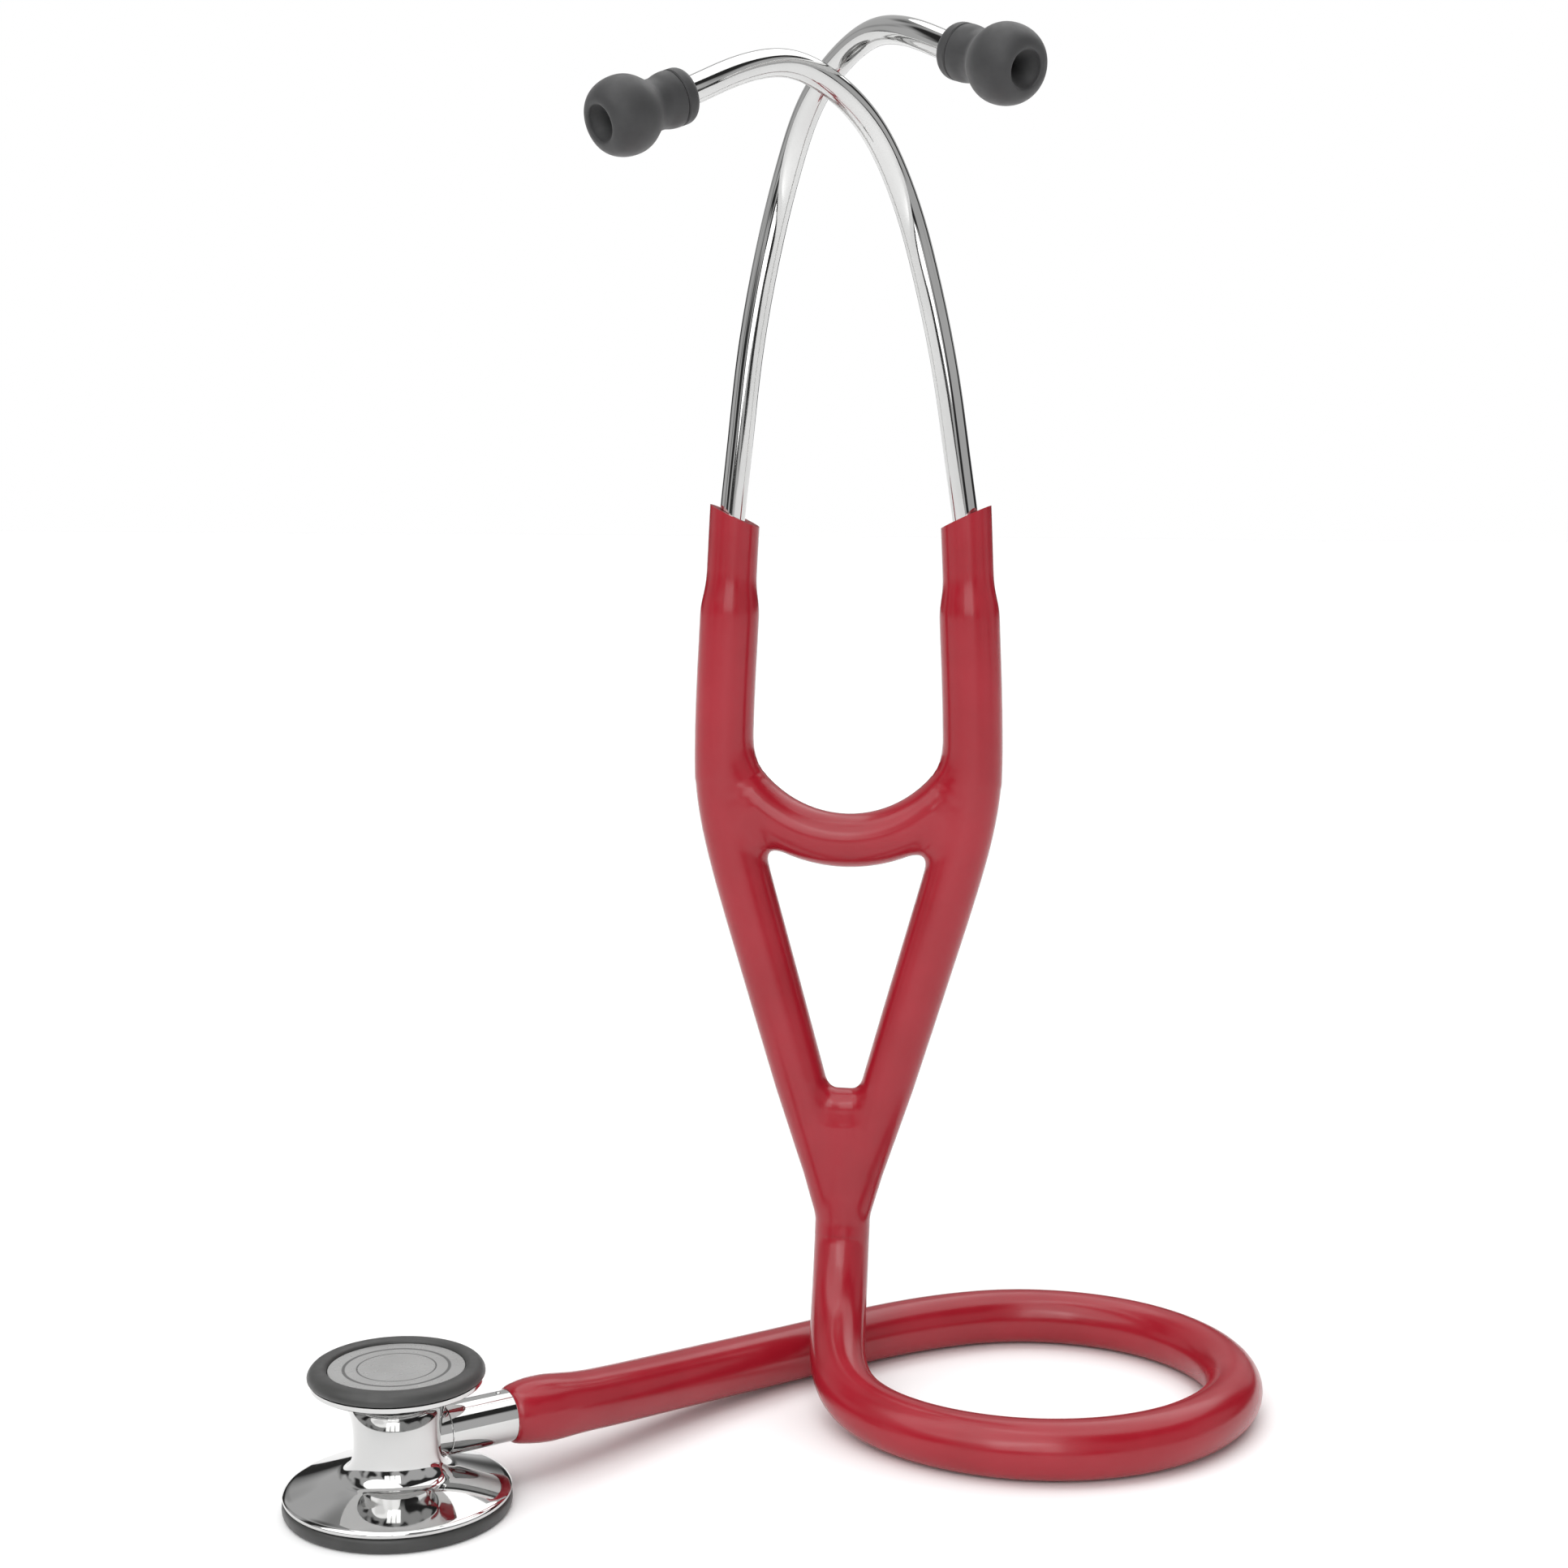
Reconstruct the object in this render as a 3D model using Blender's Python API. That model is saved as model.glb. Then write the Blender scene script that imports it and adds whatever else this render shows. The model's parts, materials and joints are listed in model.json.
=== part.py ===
"""Two-sided stethoscope standing on its chestpiece and on the loop of its hose.

Metres, +Z up.  The floor is z = 0, the front of the object faces -Y and the
origin lies under the middle of everything except the hose.  The chestpiece
and its hose stem are drawn about the chestpiece axis, the yoke, spring, ear
tubes and eartips in the plane of the headset, which is turned a little about
the vertical.
"""

import math

import bmesh
import bpy
from mathutils import Matrix, Vector

MM = 0.001

# ------------------------------------------------------------------ clearances
GAP = 0.3 * MM               # air left between two pieces that touch
SLIDE_GAP = 0.3 * MM         # running clearance of a bore round its shaft

# ---------------------------------------------------------- places on the floor
CHEST_X = -50.5 * MM         # chestpiece axis
CHEST_Y = -30.2 * MM
STEM_YAW = math.radians(33.0)       # direction of the stem, from +X towards +Y
HEADSET_X = 37.7 * MM        # middle of the yoke
HEADSET_Y = 41.1 * MM
HEADSET_YAW = math.radians(-10.0)   # turn of the headset plane

# ------------------------------------------------------------------------ hose
HOSE_RADIUS = 6.1 * MM
HOSE_TOP = 36.0 * MM         # height of the hose end under the yoke
HOSE_POINT_STEP = 5.4 * MM
HOSE_STRAIGHT = 6.0 * MM     # straight stretch at each end
HOSE_LEAN = math.radians(12.0)      # lean of the hose end under the yoke
# Route of the hose from the stem to the yoke, in millimetres.  The two ends
# are worked out from the stem and the yoke.
HOSE_ROUTE = (
    (-19.1, -8.7, 12.6), (-10.1, 1.0, 11.1), (-0.5, 12.3, 9.4), (9.6, 23.3, 7.9),
    (20.9, 34.0, 6.8), (33.4, 44.3, 6.2), (46.9, 54.0, 6.1), (60.9, 61.4, 6.1),
    (75.9, 65.9, 6.1), (90.9, 65.1, 6.1), (105.4, 59.0, 6.1), (116.6, 47.8, 6.1),
    (122.5, 33.2, 6.1), (122.3, 17.7, 6.1), (116.0, 4.2, 6.1), (104.4, -7.5, 6.1),
    (89.9, -13.9, 6.1), (74.4, -15.0, 6.1), (60.9, -11.3, 6.1), (51.0, -5.4, 6.2),
    (43.9, 1.1, 6.7), (39.0, 7.8, 7.7), (36.6, 15.3, 9.7), (36.3, 23.8, 12.7),
    (36.7, 31.4, 17.6), (37.2, 37.1, 24.0),
)

# ------------------------------------------------------------------------ yoke
LEG_RADIUS = 6.2 * MM
SHOULDER_RADIUS = 6.5 * MM
BRIDGE_RADIUS = 5.9 * MM
BRIDGE_SAG = 16.8 * MM       # the bridge centre line's lowest point under its ends
LEG_MEETING_DROP = 1.7 * MM  # where the leg centre lines would cross, under HOSE_TOP
STUB_HEIGHT = 12.0 * MM      # height of the round stub over the hose
LUMEN_RADIUS = 1.7 * MM      # sound channel in yoke, arms and ball seats

# ------------------------------------------------------------- arms and hinges
HINGE_OFFSET = 27.6 * MM     # hinge to the middle of the headset
HINGE_HEIGHT = 148.0 * MM
HINGE_TURN = math.radians(55.0)     # hinge axes, from square to the headset
HINGE_BALL_RADIUS = 5.4 * MM
HINGE_SPLIT = 2.2 * MM       # hinge centre to the faces that it keeps apart
ARM_RADIUS = 6.5 * MM
SLEEVE_RADIUS = 5.5 * MM
ARM_INWARD_SLOPE = 0.05
MOUTH_HEIGHT = 193.2 * MM
MOUTH_SLANT = math.radians(22.0)
SLEEVE_LENGTH = 12.2 * MM    # narrow part of the arm under its mouth
SLEEVE_STEP = 10.0 * MM      # length over which the arm narrows
HEADSET_SEGMENTS = 14
SLEEVE_FULL = MOUTH_HEIGHT - SLEEVE_LENGTH
SLEEVE_START = SLEEVE_FULL - SLEEVE_STEP

# The bridge ends on the shoulders, and the legs rise from the stub to them.
BRIDGE_SPAN = HINGE_OFFSET - 0.63 * MM      # half of the bridge, sideways
BRIDGE_ARC_RADIUS = (BRIDGE_SPAN ** 2 + BRIDGE_SAG ** 2) / (2 * BRIDGE_SAG)
BRIDGE_HALF_ANGLE = math.asin(BRIDGE_SPAN / BRIDGE_ARC_RADIUS)
BRIDGE_BOTTOM = HINGE_HEIGHT - 8.9 * MM - BRIDGE_SAG
LEG_MEETING_HEIGHT = HOSE_TOP - LEG_MEETING_DROP
SHOULDER_BEND = HINGE_HEIGHT - 26.0 * MM    # the leg lines are aimed at this height
LEG_SLOPE = (HINGE_OFFSET - 1.93 * MM) / (SHOULDER_BEND - LEG_MEETING_HEIGHT)

# ----------------------------------------------------------------- leaf spring
SPRING_WIDTH = 5.0 * MM
SPRING_THICKNESS = 0.8 * MM
SPRING_SLOT_HALF_ANGLE = BRIDGE_HALF_ANGLE - math.radians(3.0)
SPRING_HALF_ANGLE = SPRING_SLOT_HALF_ANGLE - math.radians(11.0)
BLADE_WIDTH = 4.0 * MM
BLADE_INSET = 4.0 * MM       # blade centre, inwards of the arm centre line
BLADE_BOTTOM = HINGE_HEIGHT + 6.5 * MM
BLADE_TOP = SLEEVE_START - 2.0 * MM

# ------------------------------------------------------------------- ear tubes
EARTUBE_RADIUS = 2.8 * MM
EARTUBE_WALL = 0.7 * MM
EARTUBE_BORE_RADIUS = EARTUBE_RADIUS - EARTUBE_WALL
EARTUBE_SIDES = 10
EARTUBE_STEP = 6.2 * MM
# Centre line of one ear tube in millimetres: inwards, forwards and up from the
# mouth of its sleeve.  The other tube is its mirror image.
EARTUBE_LINE = (
    (-0.9, 0.0, -18.0), (0.0, 0.0, 0.0), (1.9, 0.0, 19.0), (3.9, 0.0, 38.0),
    (7.1, 0.0, 56.8), (11.5, 0.6, 75.2), (18.5, 8.8, 91.1), (30.2, 20.2, 100.2),
    (39.9, 34.0, 97.9), (50.1, 46.0, 91.4),
)
EARTIP_AZIMUTH = math.radians(44.0)     # eartip axis, forwards from inwards
EARTIP_DROP = math.radians(19.0)        # and below the level
# Each tube sits in its sleeve with its own height, roll, turn and lean.
EARTUBE_SEAT_OFFSET = HINGE_OFFSET - 1.45 * MM
LEFT_SEAT_HEIGHT = MOUTH_HEIGHT - 2.9 * MM
RIGHT_SEAT_HEIGHT = MOUTH_HEIGHT - 7.5 * MM
LEFT_SEAT_ANGLES = (-1.0, 0.0, 2.5)     # degrees about X, Y and Z
RIGHT_SEAT_ANGLES = (1.0, -2.5, 2.7)

# --------------------------------------------------------------------- eartips
RING_LENGTH = 3.2 * MM
RING_RADIUS = 5.5 * MM
TIP_LENGTH = 17.8 * MM
CUFF_RADIUS = 5.5 * MM
WAIST_RADIUS = 5.0 * MM
BULB_RADIUS = 7.65 * MM
TIP_MOUTH_RADIUS = 3.6 * MM
TIP_CHANNEL_RADIUS = 1.6 * MM
SPIGOT_LENGTH = 6.0 * MM     # ear tube held inside the rubber tip
TIP_SEGMENTS = 18

# ------------------------------------------------------------------ chestpiece
STEM_HEIGHT = 13.5 * MM
ADULT_RIM_RADIUS = 22.25 * MM
ADULT_RIM_HEIGHT = 2.8 * MM
ADULT_HUB_RADIUS = ADULT_RIM_RADIUS - 2.05 * MM
ADULT_LIP_RADIUS = ADULT_HUB_RADIUS - 1.9 * MM
CHILD_RIM_RADIUS = 17.2 * MM
CHILD_FLANGE_RADIUS = CHILD_RIM_RADIUS - 0.6 * MM
CHILD_HUB_RADIUS = CHILD_RIM_RADIUS - 2.2 * MM
CHILD_LIP_RADIUS = CHILD_HUB_RADIUS - 1.6 * MM
CHILD_RIM_TOP = 28.9 * MM
CHILD_DISC_TOP = CHILD_RIM_TOP - 0.8 * MM
CHILD_HUB_TOP = CHILD_RIM_TOP - 1.6 * MM
CHILD_FLANGE_TOP = CHILD_RIM_TOP - 2.8 * MM
NECK_RADIUS = 8.5 * MM
DISC_THICKNESS = 0.4 * MM
LIP_THICKNESS = 1.4 * MM
DISC_RECESS = 0.5 * MM
CHEST_SEGMENTS = 36

# ------------------------------------------------------------------------ stem
STEM_RADIUS = 5.1 * MM
SHANK_RADIUS = STEM_RADIUS - 1.4 * MM
STEM_BORE_RADIUS = 1.5 * MM
BOSS_LENGTH = NECK_RADIUS + 1.1 * MM
STEM_END = BOSS_LENGTH + 14.4 * MM
SHANK_TAIL = 6.6 * MM
STEM_SEGMENTS = 20
SEAL_PLACE = 4.4 * MM
SEAL_WIRE_RADIUS = 0.5 * MM
CLIP_PLACE = 7.1 * MM
CLIP_THICKNESS = 0.6 * MM
CLIP_GROOVE_DEPTH = 0.8 * MM
DETENT_PLACE = -4.3 * MM
DETENT_BALL_RADIUS = 0.8 * MM
DETENT_WIRE_RADIUS = 0.16 * MM
DETENT_COIL_RADIUS = 0.55 * MM
DETENT_TURNS = 4

FINISHES = {
    # name: (red, green, blue), metallic, roughness
    "burgundy_rubber": ((0.50, 0.035, 0.06), 0.0, 0.25),
    "polished_steel": ((0.80, 0.80, 0.80), 1.0, 0.07),
    "spring_steel": ((0.35, 0.36, 0.38), 1.0, 0.35),
    "grey_rubber": ((0.065, 0.065, 0.065), 0.0, 0.6),
    "grey_rim": ((0.12, 0.12, 0.12), 0.0, 0.45),
    "diaphragm_film": ((0.62, 0.62, 0.62), 0.2, 0.35),
    "seal_rubber": ((0.02, 0.02, 0.02), 0.0, 0.6),
}


# --------------------------------------------------------------------- helpers
def material(name):
    """Return the material of a finish, made on its first use."""
    found = bpy.data.materials.get(name)
    if found:
        return found
    colour, metallic, roughness = FINISHES[name]
    made = bpy.data.materials.new(name)
    made.use_nodes = True
    shader = made.node_tree.nodes["Principled BSDF"]
    shader.inputs["Base Color"].default_value = (*colour, 1.0)
    shader.inputs["Metallic"].default_value = metallic
    shader.inputs["Roughness"].default_value = roughness
    made.diffuse_color = (*colour, 1.0)
    return made


def make_object(name, shape, finish):
    """Turn a bmesh into a smooth-shaded object of the scene."""
    bmesh.ops.remove_doubles(shape, verts=shape.verts, dist=1e-7)
    bmesh.ops.recalc_face_normals(shape, faces=shape.faces)
    mesh = bpy.data.meshes.new(name)
    shape.to_mesh(mesh)
    shape.free()
    mesh.shade_smooth()
    mesh.set_sharp_from_angle(angle=math.radians(35.0))
    mesh.materials.append(material(finish))
    made = bpy.data.objects.new(name, mesh)
    bpy.context.scene.collection.objects.link(made)
    return made


def combine(target, tool, operation):
    """Join a tool to a target, or cut it away, and remove the tool."""
    tool.hide_render = True
    tool.display_type = "WIRE"
    modifier = target.modifiers.new(operation.lower(), "BOOLEAN")
    modifier.operation = operation
    modifier.solver = "EXACT"
    modifier.object = tool
    graph = bpy.context.evaluated_depsgraph_get()
    mesh = bpy.data.meshes.new_from_object(target.evaluated_get(graph))
    target.modifiers.clear()
    target.data = mesh
    mesh.shade_smooth()
    mesh.set_sharp_from_angle(angle=math.radians(35.0))
    bpy.data.objects.remove(tool)
    return target


def cut(target, tool):
    """Cut a tool away from a target."""
    return combine(target, tool, "DIFFERENCE")


def join(target, tool):
    """Join a tool to a target."""
    return combine(target, tool, "UNION")


def bezier(start, lead, trail, end, count):
    """Points of a cubic curve from start to end, given in any dimension."""
    points = []
    for step in range(count + 1):
        t = step / count
        weights = ((1 - t) ** 3, 3 * t * (1 - t) ** 2, 3 * t * t * (1 - t), t ** 3)
        corners = (start, lead, trail, end)
        points.append(tuple(
            sum(weight * corner[axis] for weight, corner in zip(weights, corners))
            for axis in range(len(start))
        ))
    return points


def smooth_route(points, step):
    """Evenly spaced points on a smooth curve through the given points."""
    points = [Vector(point) for point in points]
    ends = [2 * points[0] - points[1]] + points + [2 * points[-1] - points[-2]]
    fine = []
    for index in range(1, len(ends) - 2):
        before, start, end, after = ends[index - 1:index + 3]
        knots = [0.0]
        for first, second in ((before, start), (start, end), (end, after)):
            knots.append(knots[-1] + math.sqrt((second - first).length))
        for part in range(24):
            t = knots[1] + (knots[2] - knots[1]) * part / 24
            low = blend(before, start, knots[0], knots[1], t)
            middle = blend(start, end, knots[1], knots[2], t)
            high = blend(end, after, knots[2], knots[3], t)
            left = blend(low, middle, knots[0], knots[2], t)
            right = blend(middle, high, knots[1], knots[3], t)
            fine.append(blend(left, right, knots[1], knots[2], t))
    fine.append(points[-1])
    return evenly(fine, step)


def blend(first, second, start, end, t):
    """Straight blend of two points over a knot span."""
    return first + (second - first) * ((t - start) / (end - start))


def evenly(fine, step):
    """Pick evenly spaced points from a fine polyline, both ends included."""
    lengths = [0.0]
    for first, second in zip(fine, fine[1:]):
        lengths.append(lengths[-1] + (second - first).length)
    count = max(2, round(lengths[-1] / step))
    picked = []
    index = 0
    for place in range(count + 1):
        wanted = lengths[-1] * place / count
        while index < len(fine) - 2 and lengths[index + 1] < wanted:
            index += 1
        span = lengths[index + 1] - lengths[index]
        picked.append(fine[index].lerp(fine[index + 1], (wanted - lengths[index]) / span))
    return picked


def turned(name, outline, segments, finish):
    """Solid of revolution about Z from an outline of (radius, height) points.

    The outline runs round the cross-section, and may touch the axis.
    """
    shape = bmesh.new()
    verts = [shape.verts.new((radius, 0.0, height)) for radius, height in outline]
    edges = [shape.edges.new(pair) for pair in zip(verts, verts[1:])]
    if outline[0][0] > 0.0 or outline[-1][0] > 0.0:
        edges.append(shape.edges.new((verts[-1], verts[0])))
    bmesh.ops.spin(
        shape, geom=verts + edges, cent=(0, 0, 0), axis=(0, 0, 1), dvec=(0, 0, 0),
        angle=math.tau, steps=segments, use_merge=True, use_duplicate=False,
    )
    return make_object(name, shape, finish)


def swept(name, stations, sides, finish, bore=None):
    """Round tube along stations of (point, radius), with a bore when given."""
    shape = bmesh.new()
    frames = path_frames([Vector(point) for point, _ in stations])
    outer = [
        add_ring(shape, frame, radius, sides)
        for frame, (_, radius) in zip(frames, stations)
    ]
    bridge(shape, outer)
    if bore is None:
        shape.faces.new(outer[0])
        shape.faces.new(outer[-1])
    else:
        inner = [add_ring(shape, frame, bore, sides) for frame in frames]
        bridge(shape, inner)
        bridge(shape, (outer[0], inner[0]))
        bridge(shape, (outer[-1], inner[-1]))
    return make_object(name, shape, finish)


def add_ring(shape, frame, radius, sides):
    """Add one circle of vertices at a frame and return them in order."""
    made = bmesh.ops.create_circle(shape, radius=radius, segments=sides, matrix=frame)
    return made["verts"]


def bridge(shape, rings):
    """Skin neighbouring rings of equal count with quads."""
    for first, second in zip(rings, rings[1:]):
        count = len(first)
        for index in range(count):
            after = (index + 1) % count
            shape.faces.new((first[index], first[after], second[after], second[index]))


def path_frames(points):
    """Frames that follow a path without twisting, Z along the path."""
    frames = []
    side = None
    for index, point in enumerate(points):
        before = points[max(index - 1, 0)]
        after = points[min(index + 1, len(points) - 1)]
        tangent = (after - before).normalized()
        if side is None:
            side = tangent.orthogonal().normalized()
        side = (side - tangent * side.dot(tangent)).normalized()
        other = tangent.cross(side)
        frame = Matrix((side, other, tangent)).transposed().to_4x4()
        frame.translation = point
        frames.append(frame)
    return frames


def ball(name, centre, radius, segments):
    """Sphere for joining or cutting."""
    shape = bmesh.new()
    bmesh.ops.create_uvsphere(
        shape, u_segments=segments, v_segments=segments // 2, radius=radius,
        matrix=Matrix.Translation(centre),
    )
    return make_object(name, shape, "polished_steel")


def rod(name, start, end, radius, segments):
    """Round bar between two points, for joining or cutting."""
    return swept(name, [(start, radius), (end, radius)], segments, "polished_steel")


def strip(name, points, width, thickness, finish):
    """Flat band in the XZ plane along points, centred on them."""
    shape = bmesh.new()
    rings = []
    for index, (x, z) in enumerate(points):
        before = points[max(index - 1, 0)]
        after = points[min(index + 1, len(points) - 1)]
        along = Vector((after[0] - before[0], after[1] - before[1])).normalized()
        normal = Vector((-along.y, along.x)) * thickness / 2
        rings.append([
            shape.verts.new((x + normal.x, -width / 2, z + normal.y)),
            shape.verts.new((x + normal.x, width / 2, z + normal.y)),
            shape.verts.new((x - normal.x, width / 2, z - normal.y)),
            shape.verts.new((x - normal.x, -width / 2, z - normal.y)),
        ])
    bridge(shape, rings)
    shape.faces.new(rings[0])
    shape.faces.new(rings[-1])
    return make_object(name, shape, finish)


def empty(name, matrix, parent=None):
    """Empty that carries a group of pieces."""
    made = bpy.data.objects.new(name, None)
    made.empty_display_size = 0.01
    bpy.context.scene.collection.objects.link(made)
    made.parent = parent
    made.matrix_basis = matrix
    return made


def carry(parent, pieces, drawn_in=None):
    """Parent pieces that are drawn in the frame of a higher empty, and stay there."""
    placing = Matrix.Identity(4)
    level = parent
    while level != (drawn_in or parent):
        placing = level.matrix_basis @ placing
        level = level.parent
    for piece in pieces:
        piece.parent = parent
        piece.matrix_basis = placing.inverted()


# ------------------------------------------------------------------ chestpiece
def chestpiece_body():
    """Hourglass body with a dished cavity, port and hub at each end."""
    dish_edge = ADULT_HUB_RADIUS - 1.2 * MM
    hub_bottom = LIP_THICKNESS + GAP
    flange_bottom = ADULT_RIM_HEIGHT + GAP
    lower = bezier(
        (ADULT_RIM_RADIUS - 1.05 * MM, flange_bottom + 1.35 * MM),
        (NECK_RADIUS + 4.5 * MM, flange_bottom + 3.2 * MM),
        (NECK_RADIUS, flange_bottom + 5.3 * MM), (NECK_RADIUS, STEM_HEIGHT + 1.3 * MM), 12,
    )
    upper = bezier(
        (NECK_RADIUS, STEM_HEIGHT + 2.9 * MM), (NECK_RADIUS, CHILD_FLANGE_TOP - 4.7 * MM),
        (NECK_RADIUS + 2.4 * MM, CHILD_FLANGE_TOP - 1.7 * MM),
        (CHILD_FLANGE_RADIUS - 0.3 * MM, CHILD_FLANGE_TOP - 1.0 * MM), 9,
    )
    outline = [
        (0.0, 4.6 * MM), (2.5 * MM, 4.6 * MM), (dish_edge - 0.4 * MM, 2.3 * MM),
        (dish_edge, hub_bottom), (ADULT_HUB_RADIUS, hub_bottom),
        (ADULT_HUB_RADIUS, flange_bottom),
        (ADULT_RIM_RADIUS - 0.35 * MM, flange_bottom),
        (ADULT_RIM_RADIUS - 0.1 * MM, flange_bottom + 0.4 * MM),
        (ADULT_RIM_RADIUS - 0.3 * MM, flange_bottom + 1.0 * MM),
        *lower, *upper,
        (CHILD_FLANGE_RADIUS, CHILD_FLANGE_TOP - 0.6 * MM),
        (CHILD_FLANGE_RADIUS, CHILD_FLANGE_TOP),
        (CHILD_HUB_RADIUS, CHILD_FLANGE_TOP), (CHILD_HUB_RADIUS, CHILD_HUB_TOP),
        (CHILD_HUB_RADIUS - 1.1 * MM, CHILD_HUB_TOP),
        (CHILD_HUB_RADIUS - 1.6 * MM, CHILD_HUB_TOP - 0.4 * MM),
        (2.0 * MM, CHILD_HUB_TOP - 2.1 * MM), (0.0, CHILD_HUB_TOP - 2.1 * MM),
    ]
    body = turned("chestpiece_body", outline, CHEST_SEGMENTS, "polished_steel")
    boss_end = (BOSS_LENGTH, 0.0, STEM_HEIGHT)
    join(body, rod("boss", (0.0, 0.0, STEM_HEIGHT), boss_end, STEM_RADIUS, STEM_SEGMENTS))
    bore_radius = SHANK_RADIUS + SLIDE_GAP
    groove_radius = SHANK_RADIUS + CLIP_GROOVE_DEPTH + SLIDE_GAP
    groove_half = CLIP_THICKNESS / 2 + SLIDE_GAP
    bore = [
        (0.0, -SHANK_TAIL - GAP), (bore_radius, -SHANK_TAIL - GAP),
        (bore_radius, CLIP_PLACE - groove_half), (groove_radius, CLIP_PLACE - groove_half),
        (groove_radius, CLIP_PLACE + groove_half), (bore_radius, CLIP_PLACE + groove_half),
        (bore_radius, BOSS_LENGTH + 2 * MM), (0.0, BOSS_LENGTH + 2 * MM),
    ]
    cut(body, along_stem(turned("bore", bore, STEM_SEGMENTS, "polished_steel")))
    stem_end = (STEM_END, 0.0, STEM_HEIGHT)
    cut(body, rod("room", boss_end, stem_end, STEM_RADIUS + SLIDE_GAP, STEM_SEGMENTS))
    for end in (0.0, CHILD_RIM_TOP):
        port = rod("port", (0.0, 0.0, end), (0.0, 0.0, STEM_HEIGHT), STEM_BORE_RADIUS, 16)
        cut(body, port)
    for side in (-1, 1):
        centre = (DETENT_PLACE, side * bore_radius, STEM_HEIGHT)
        cut(body, ball("dimple", centre, 0.6 * DETENT_BALL_RADIUS, 12))
    return body


def along_stem(piece):
    """Lay a piece turned about Z on the stem axis."""
    placing = Matrix.Translation((0.0, 0.0, STEM_HEIGHT)) @ Matrix.Rotation(math.pi / 2, 4, "Y")
    piece.data.transform(placing)
    return piece


def chestpiece_rims():
    """Snap-on rings that hold the two diaphragms."""
    inner = ADULT_HUB_RADIUS + SLIDE_GAP
    adult = [
        (ADULT_LIP_RADIUS, 0.4 * MM), (ADULT_LIP_RADIUS + 0.5 * MM, 0.0),
        (ADULT_RIM_RADIUS - 1.1 * MM, 0.0), (ADULT_RIM_RADIUS - 0.3 * MM, 0.35 * MM),
        (ADULT_RIM_RADIUS, 1.1 * MM), (ADULT_RIM_RADIUS, 2.1 * MM),
        (ADULT_RIM_RADIUS - 0.4 * MM, ADULT_RIM_HEIGHT), (inner, ADULT_RIM_HEIGHT),
        (inner, LIP_THICKNESS), (ADULT_LIP_RADIUS, LIP_THICKNESS),
    ]
    low = CHILD_FLANGE_TOP + GAP
    lip = CHILD_HUB_TOP + GAP
    child_inner = CHILD_HUB_RADIUS + SLIDE_GAP
    child = [
        (child_inner, low), (CHILD_RIM_RADIUS - 0.6 * MM, low),
        (CHILD_RIM_RADIUS - 0.1 * MM, low + 0.4 * MM), (CHILD_RIM_RADIUS, low + 1.0 * MM),
        (CHILD_RIM_RADIUS - 0.4 * MM, CHILD_RIM_TOP - 0.7 * MM),
        (CHILD_RIM_RADIUS - 1.4 * MM, CHILD_RIM_TOP - 0.1 * MM),
        (CHILD_RIM_RADIUS - 1.9 * MM, CHILD_RIM_TOP),
        (CHILD_RIM_RADIUS - 2.6 * MM, CHILD_RIM_TOP),
        (CHILD_LIP_RADIUS + 0.3 * MM, CHILD_RIM_TOP - 0.5 * MM),
        (CHILD_LIP_RADIUS, CHILD_RIM_TOP - 0.8 * MM), (CHILD_LIP_RADIUS, lip),
        (child_inner, lip),
    ]
    return [
        turned("adult_rim", adult, CHEST_SEGMENTS, "grey_rim"),
        turned("pediatric_rim", child, CHEST_SEGMENTS, "grey_rim"),
    ]


def diaphragm(name, radius, low):
    """Thin stiff disc with its lower face at a height."""
    outline = [(0.0, low), (radius, low), (radius, low + DISC_THICKNESS),
               (0.0, low + DISC_THICKNESS)]
    return turned(name, outline, CHEST_SEGMENTS, "diaphragm_film")


def stem():
    """Rotating hose stem: shank with its grooves, side port and detent hole."""
    seal_half = SEAL_WIRE_RADIUS + SLIDE_GAP
    seal_floor = SHANK_RADIUS - 2 * SEAL_WIRE_RADIUS - SLIDE_GAP
    clip_half = CLIP_THICKNESS / 2 + SLIDE_GAP
    clip_floor = SHANK_RADIUS - CLIP_GROOVE_DEPTH
    shoulder = BOSS_LENGTH + GAP
    outline = [
        (0.0, -SHANK_TAIL), (SHANK_RADIUS - 0.5 * MM, -SHANK_TAIL),
        (SHANK_RADIUS, 0.5 * MM - SHANK_TAIL),
        (SHANK_RADIUS, SEAL_PLACE - seal_half), (seal_floor, SEAL_PLACE - seal_half),
        (seal_floor, SEAL_PLACE + seal_half), (SHANK_RADIUS, SEAL_PLACE + seal_half),
        (SHANK_RADIUS, CLIP_PLACE - clip_half), (clip_floor, CLIP_PLACE - clip_half),
        (clip_floor, CLIP_PLACE + clip_half), (SHANK_RADIUS, CLIP_PLACE + clip_half),
        (SHANK_RADIUS, shoulder), (STEM_RADIUS, shoulder), (STEM_RADIUS, STEM_END),
        (0.0, STEM_END),
    ]
    made = along_stem(turned("stem", outline, STEM_SEGMENTS, "polished_steel"))
    centre = (-STEM_BORE_RADIUS, 0.0, STEM_HEIGHT)
    cut(made, rod("bore", centre, (STEM_END + 2 * MM, 0.0, STEM_HEIGHT), STEM_BORE_RADIUS, 16))
    low = (0.0, 0.0, STEM_HEIGHT - 2 * SHANK_RADIUS)
    cut(made, rod("port", low, (0.0, 0.0, STEM_HEIGHT), STEM_BORE_RADIUS - 0.2 * MM, 16))
    mouth = (DETENT_PLACE, 2 * SHANK_RADIUS, STEM_HEIGHT)
    floor = (DETENT_PLACE, -0.4 * SHANK_RADIUS, STEM_HEIGHT)
    cut(made, rod("detent", mouth, floor, DETENT_BALL_RADIUS + SLIDE_GAP, 16))
    return made


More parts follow.
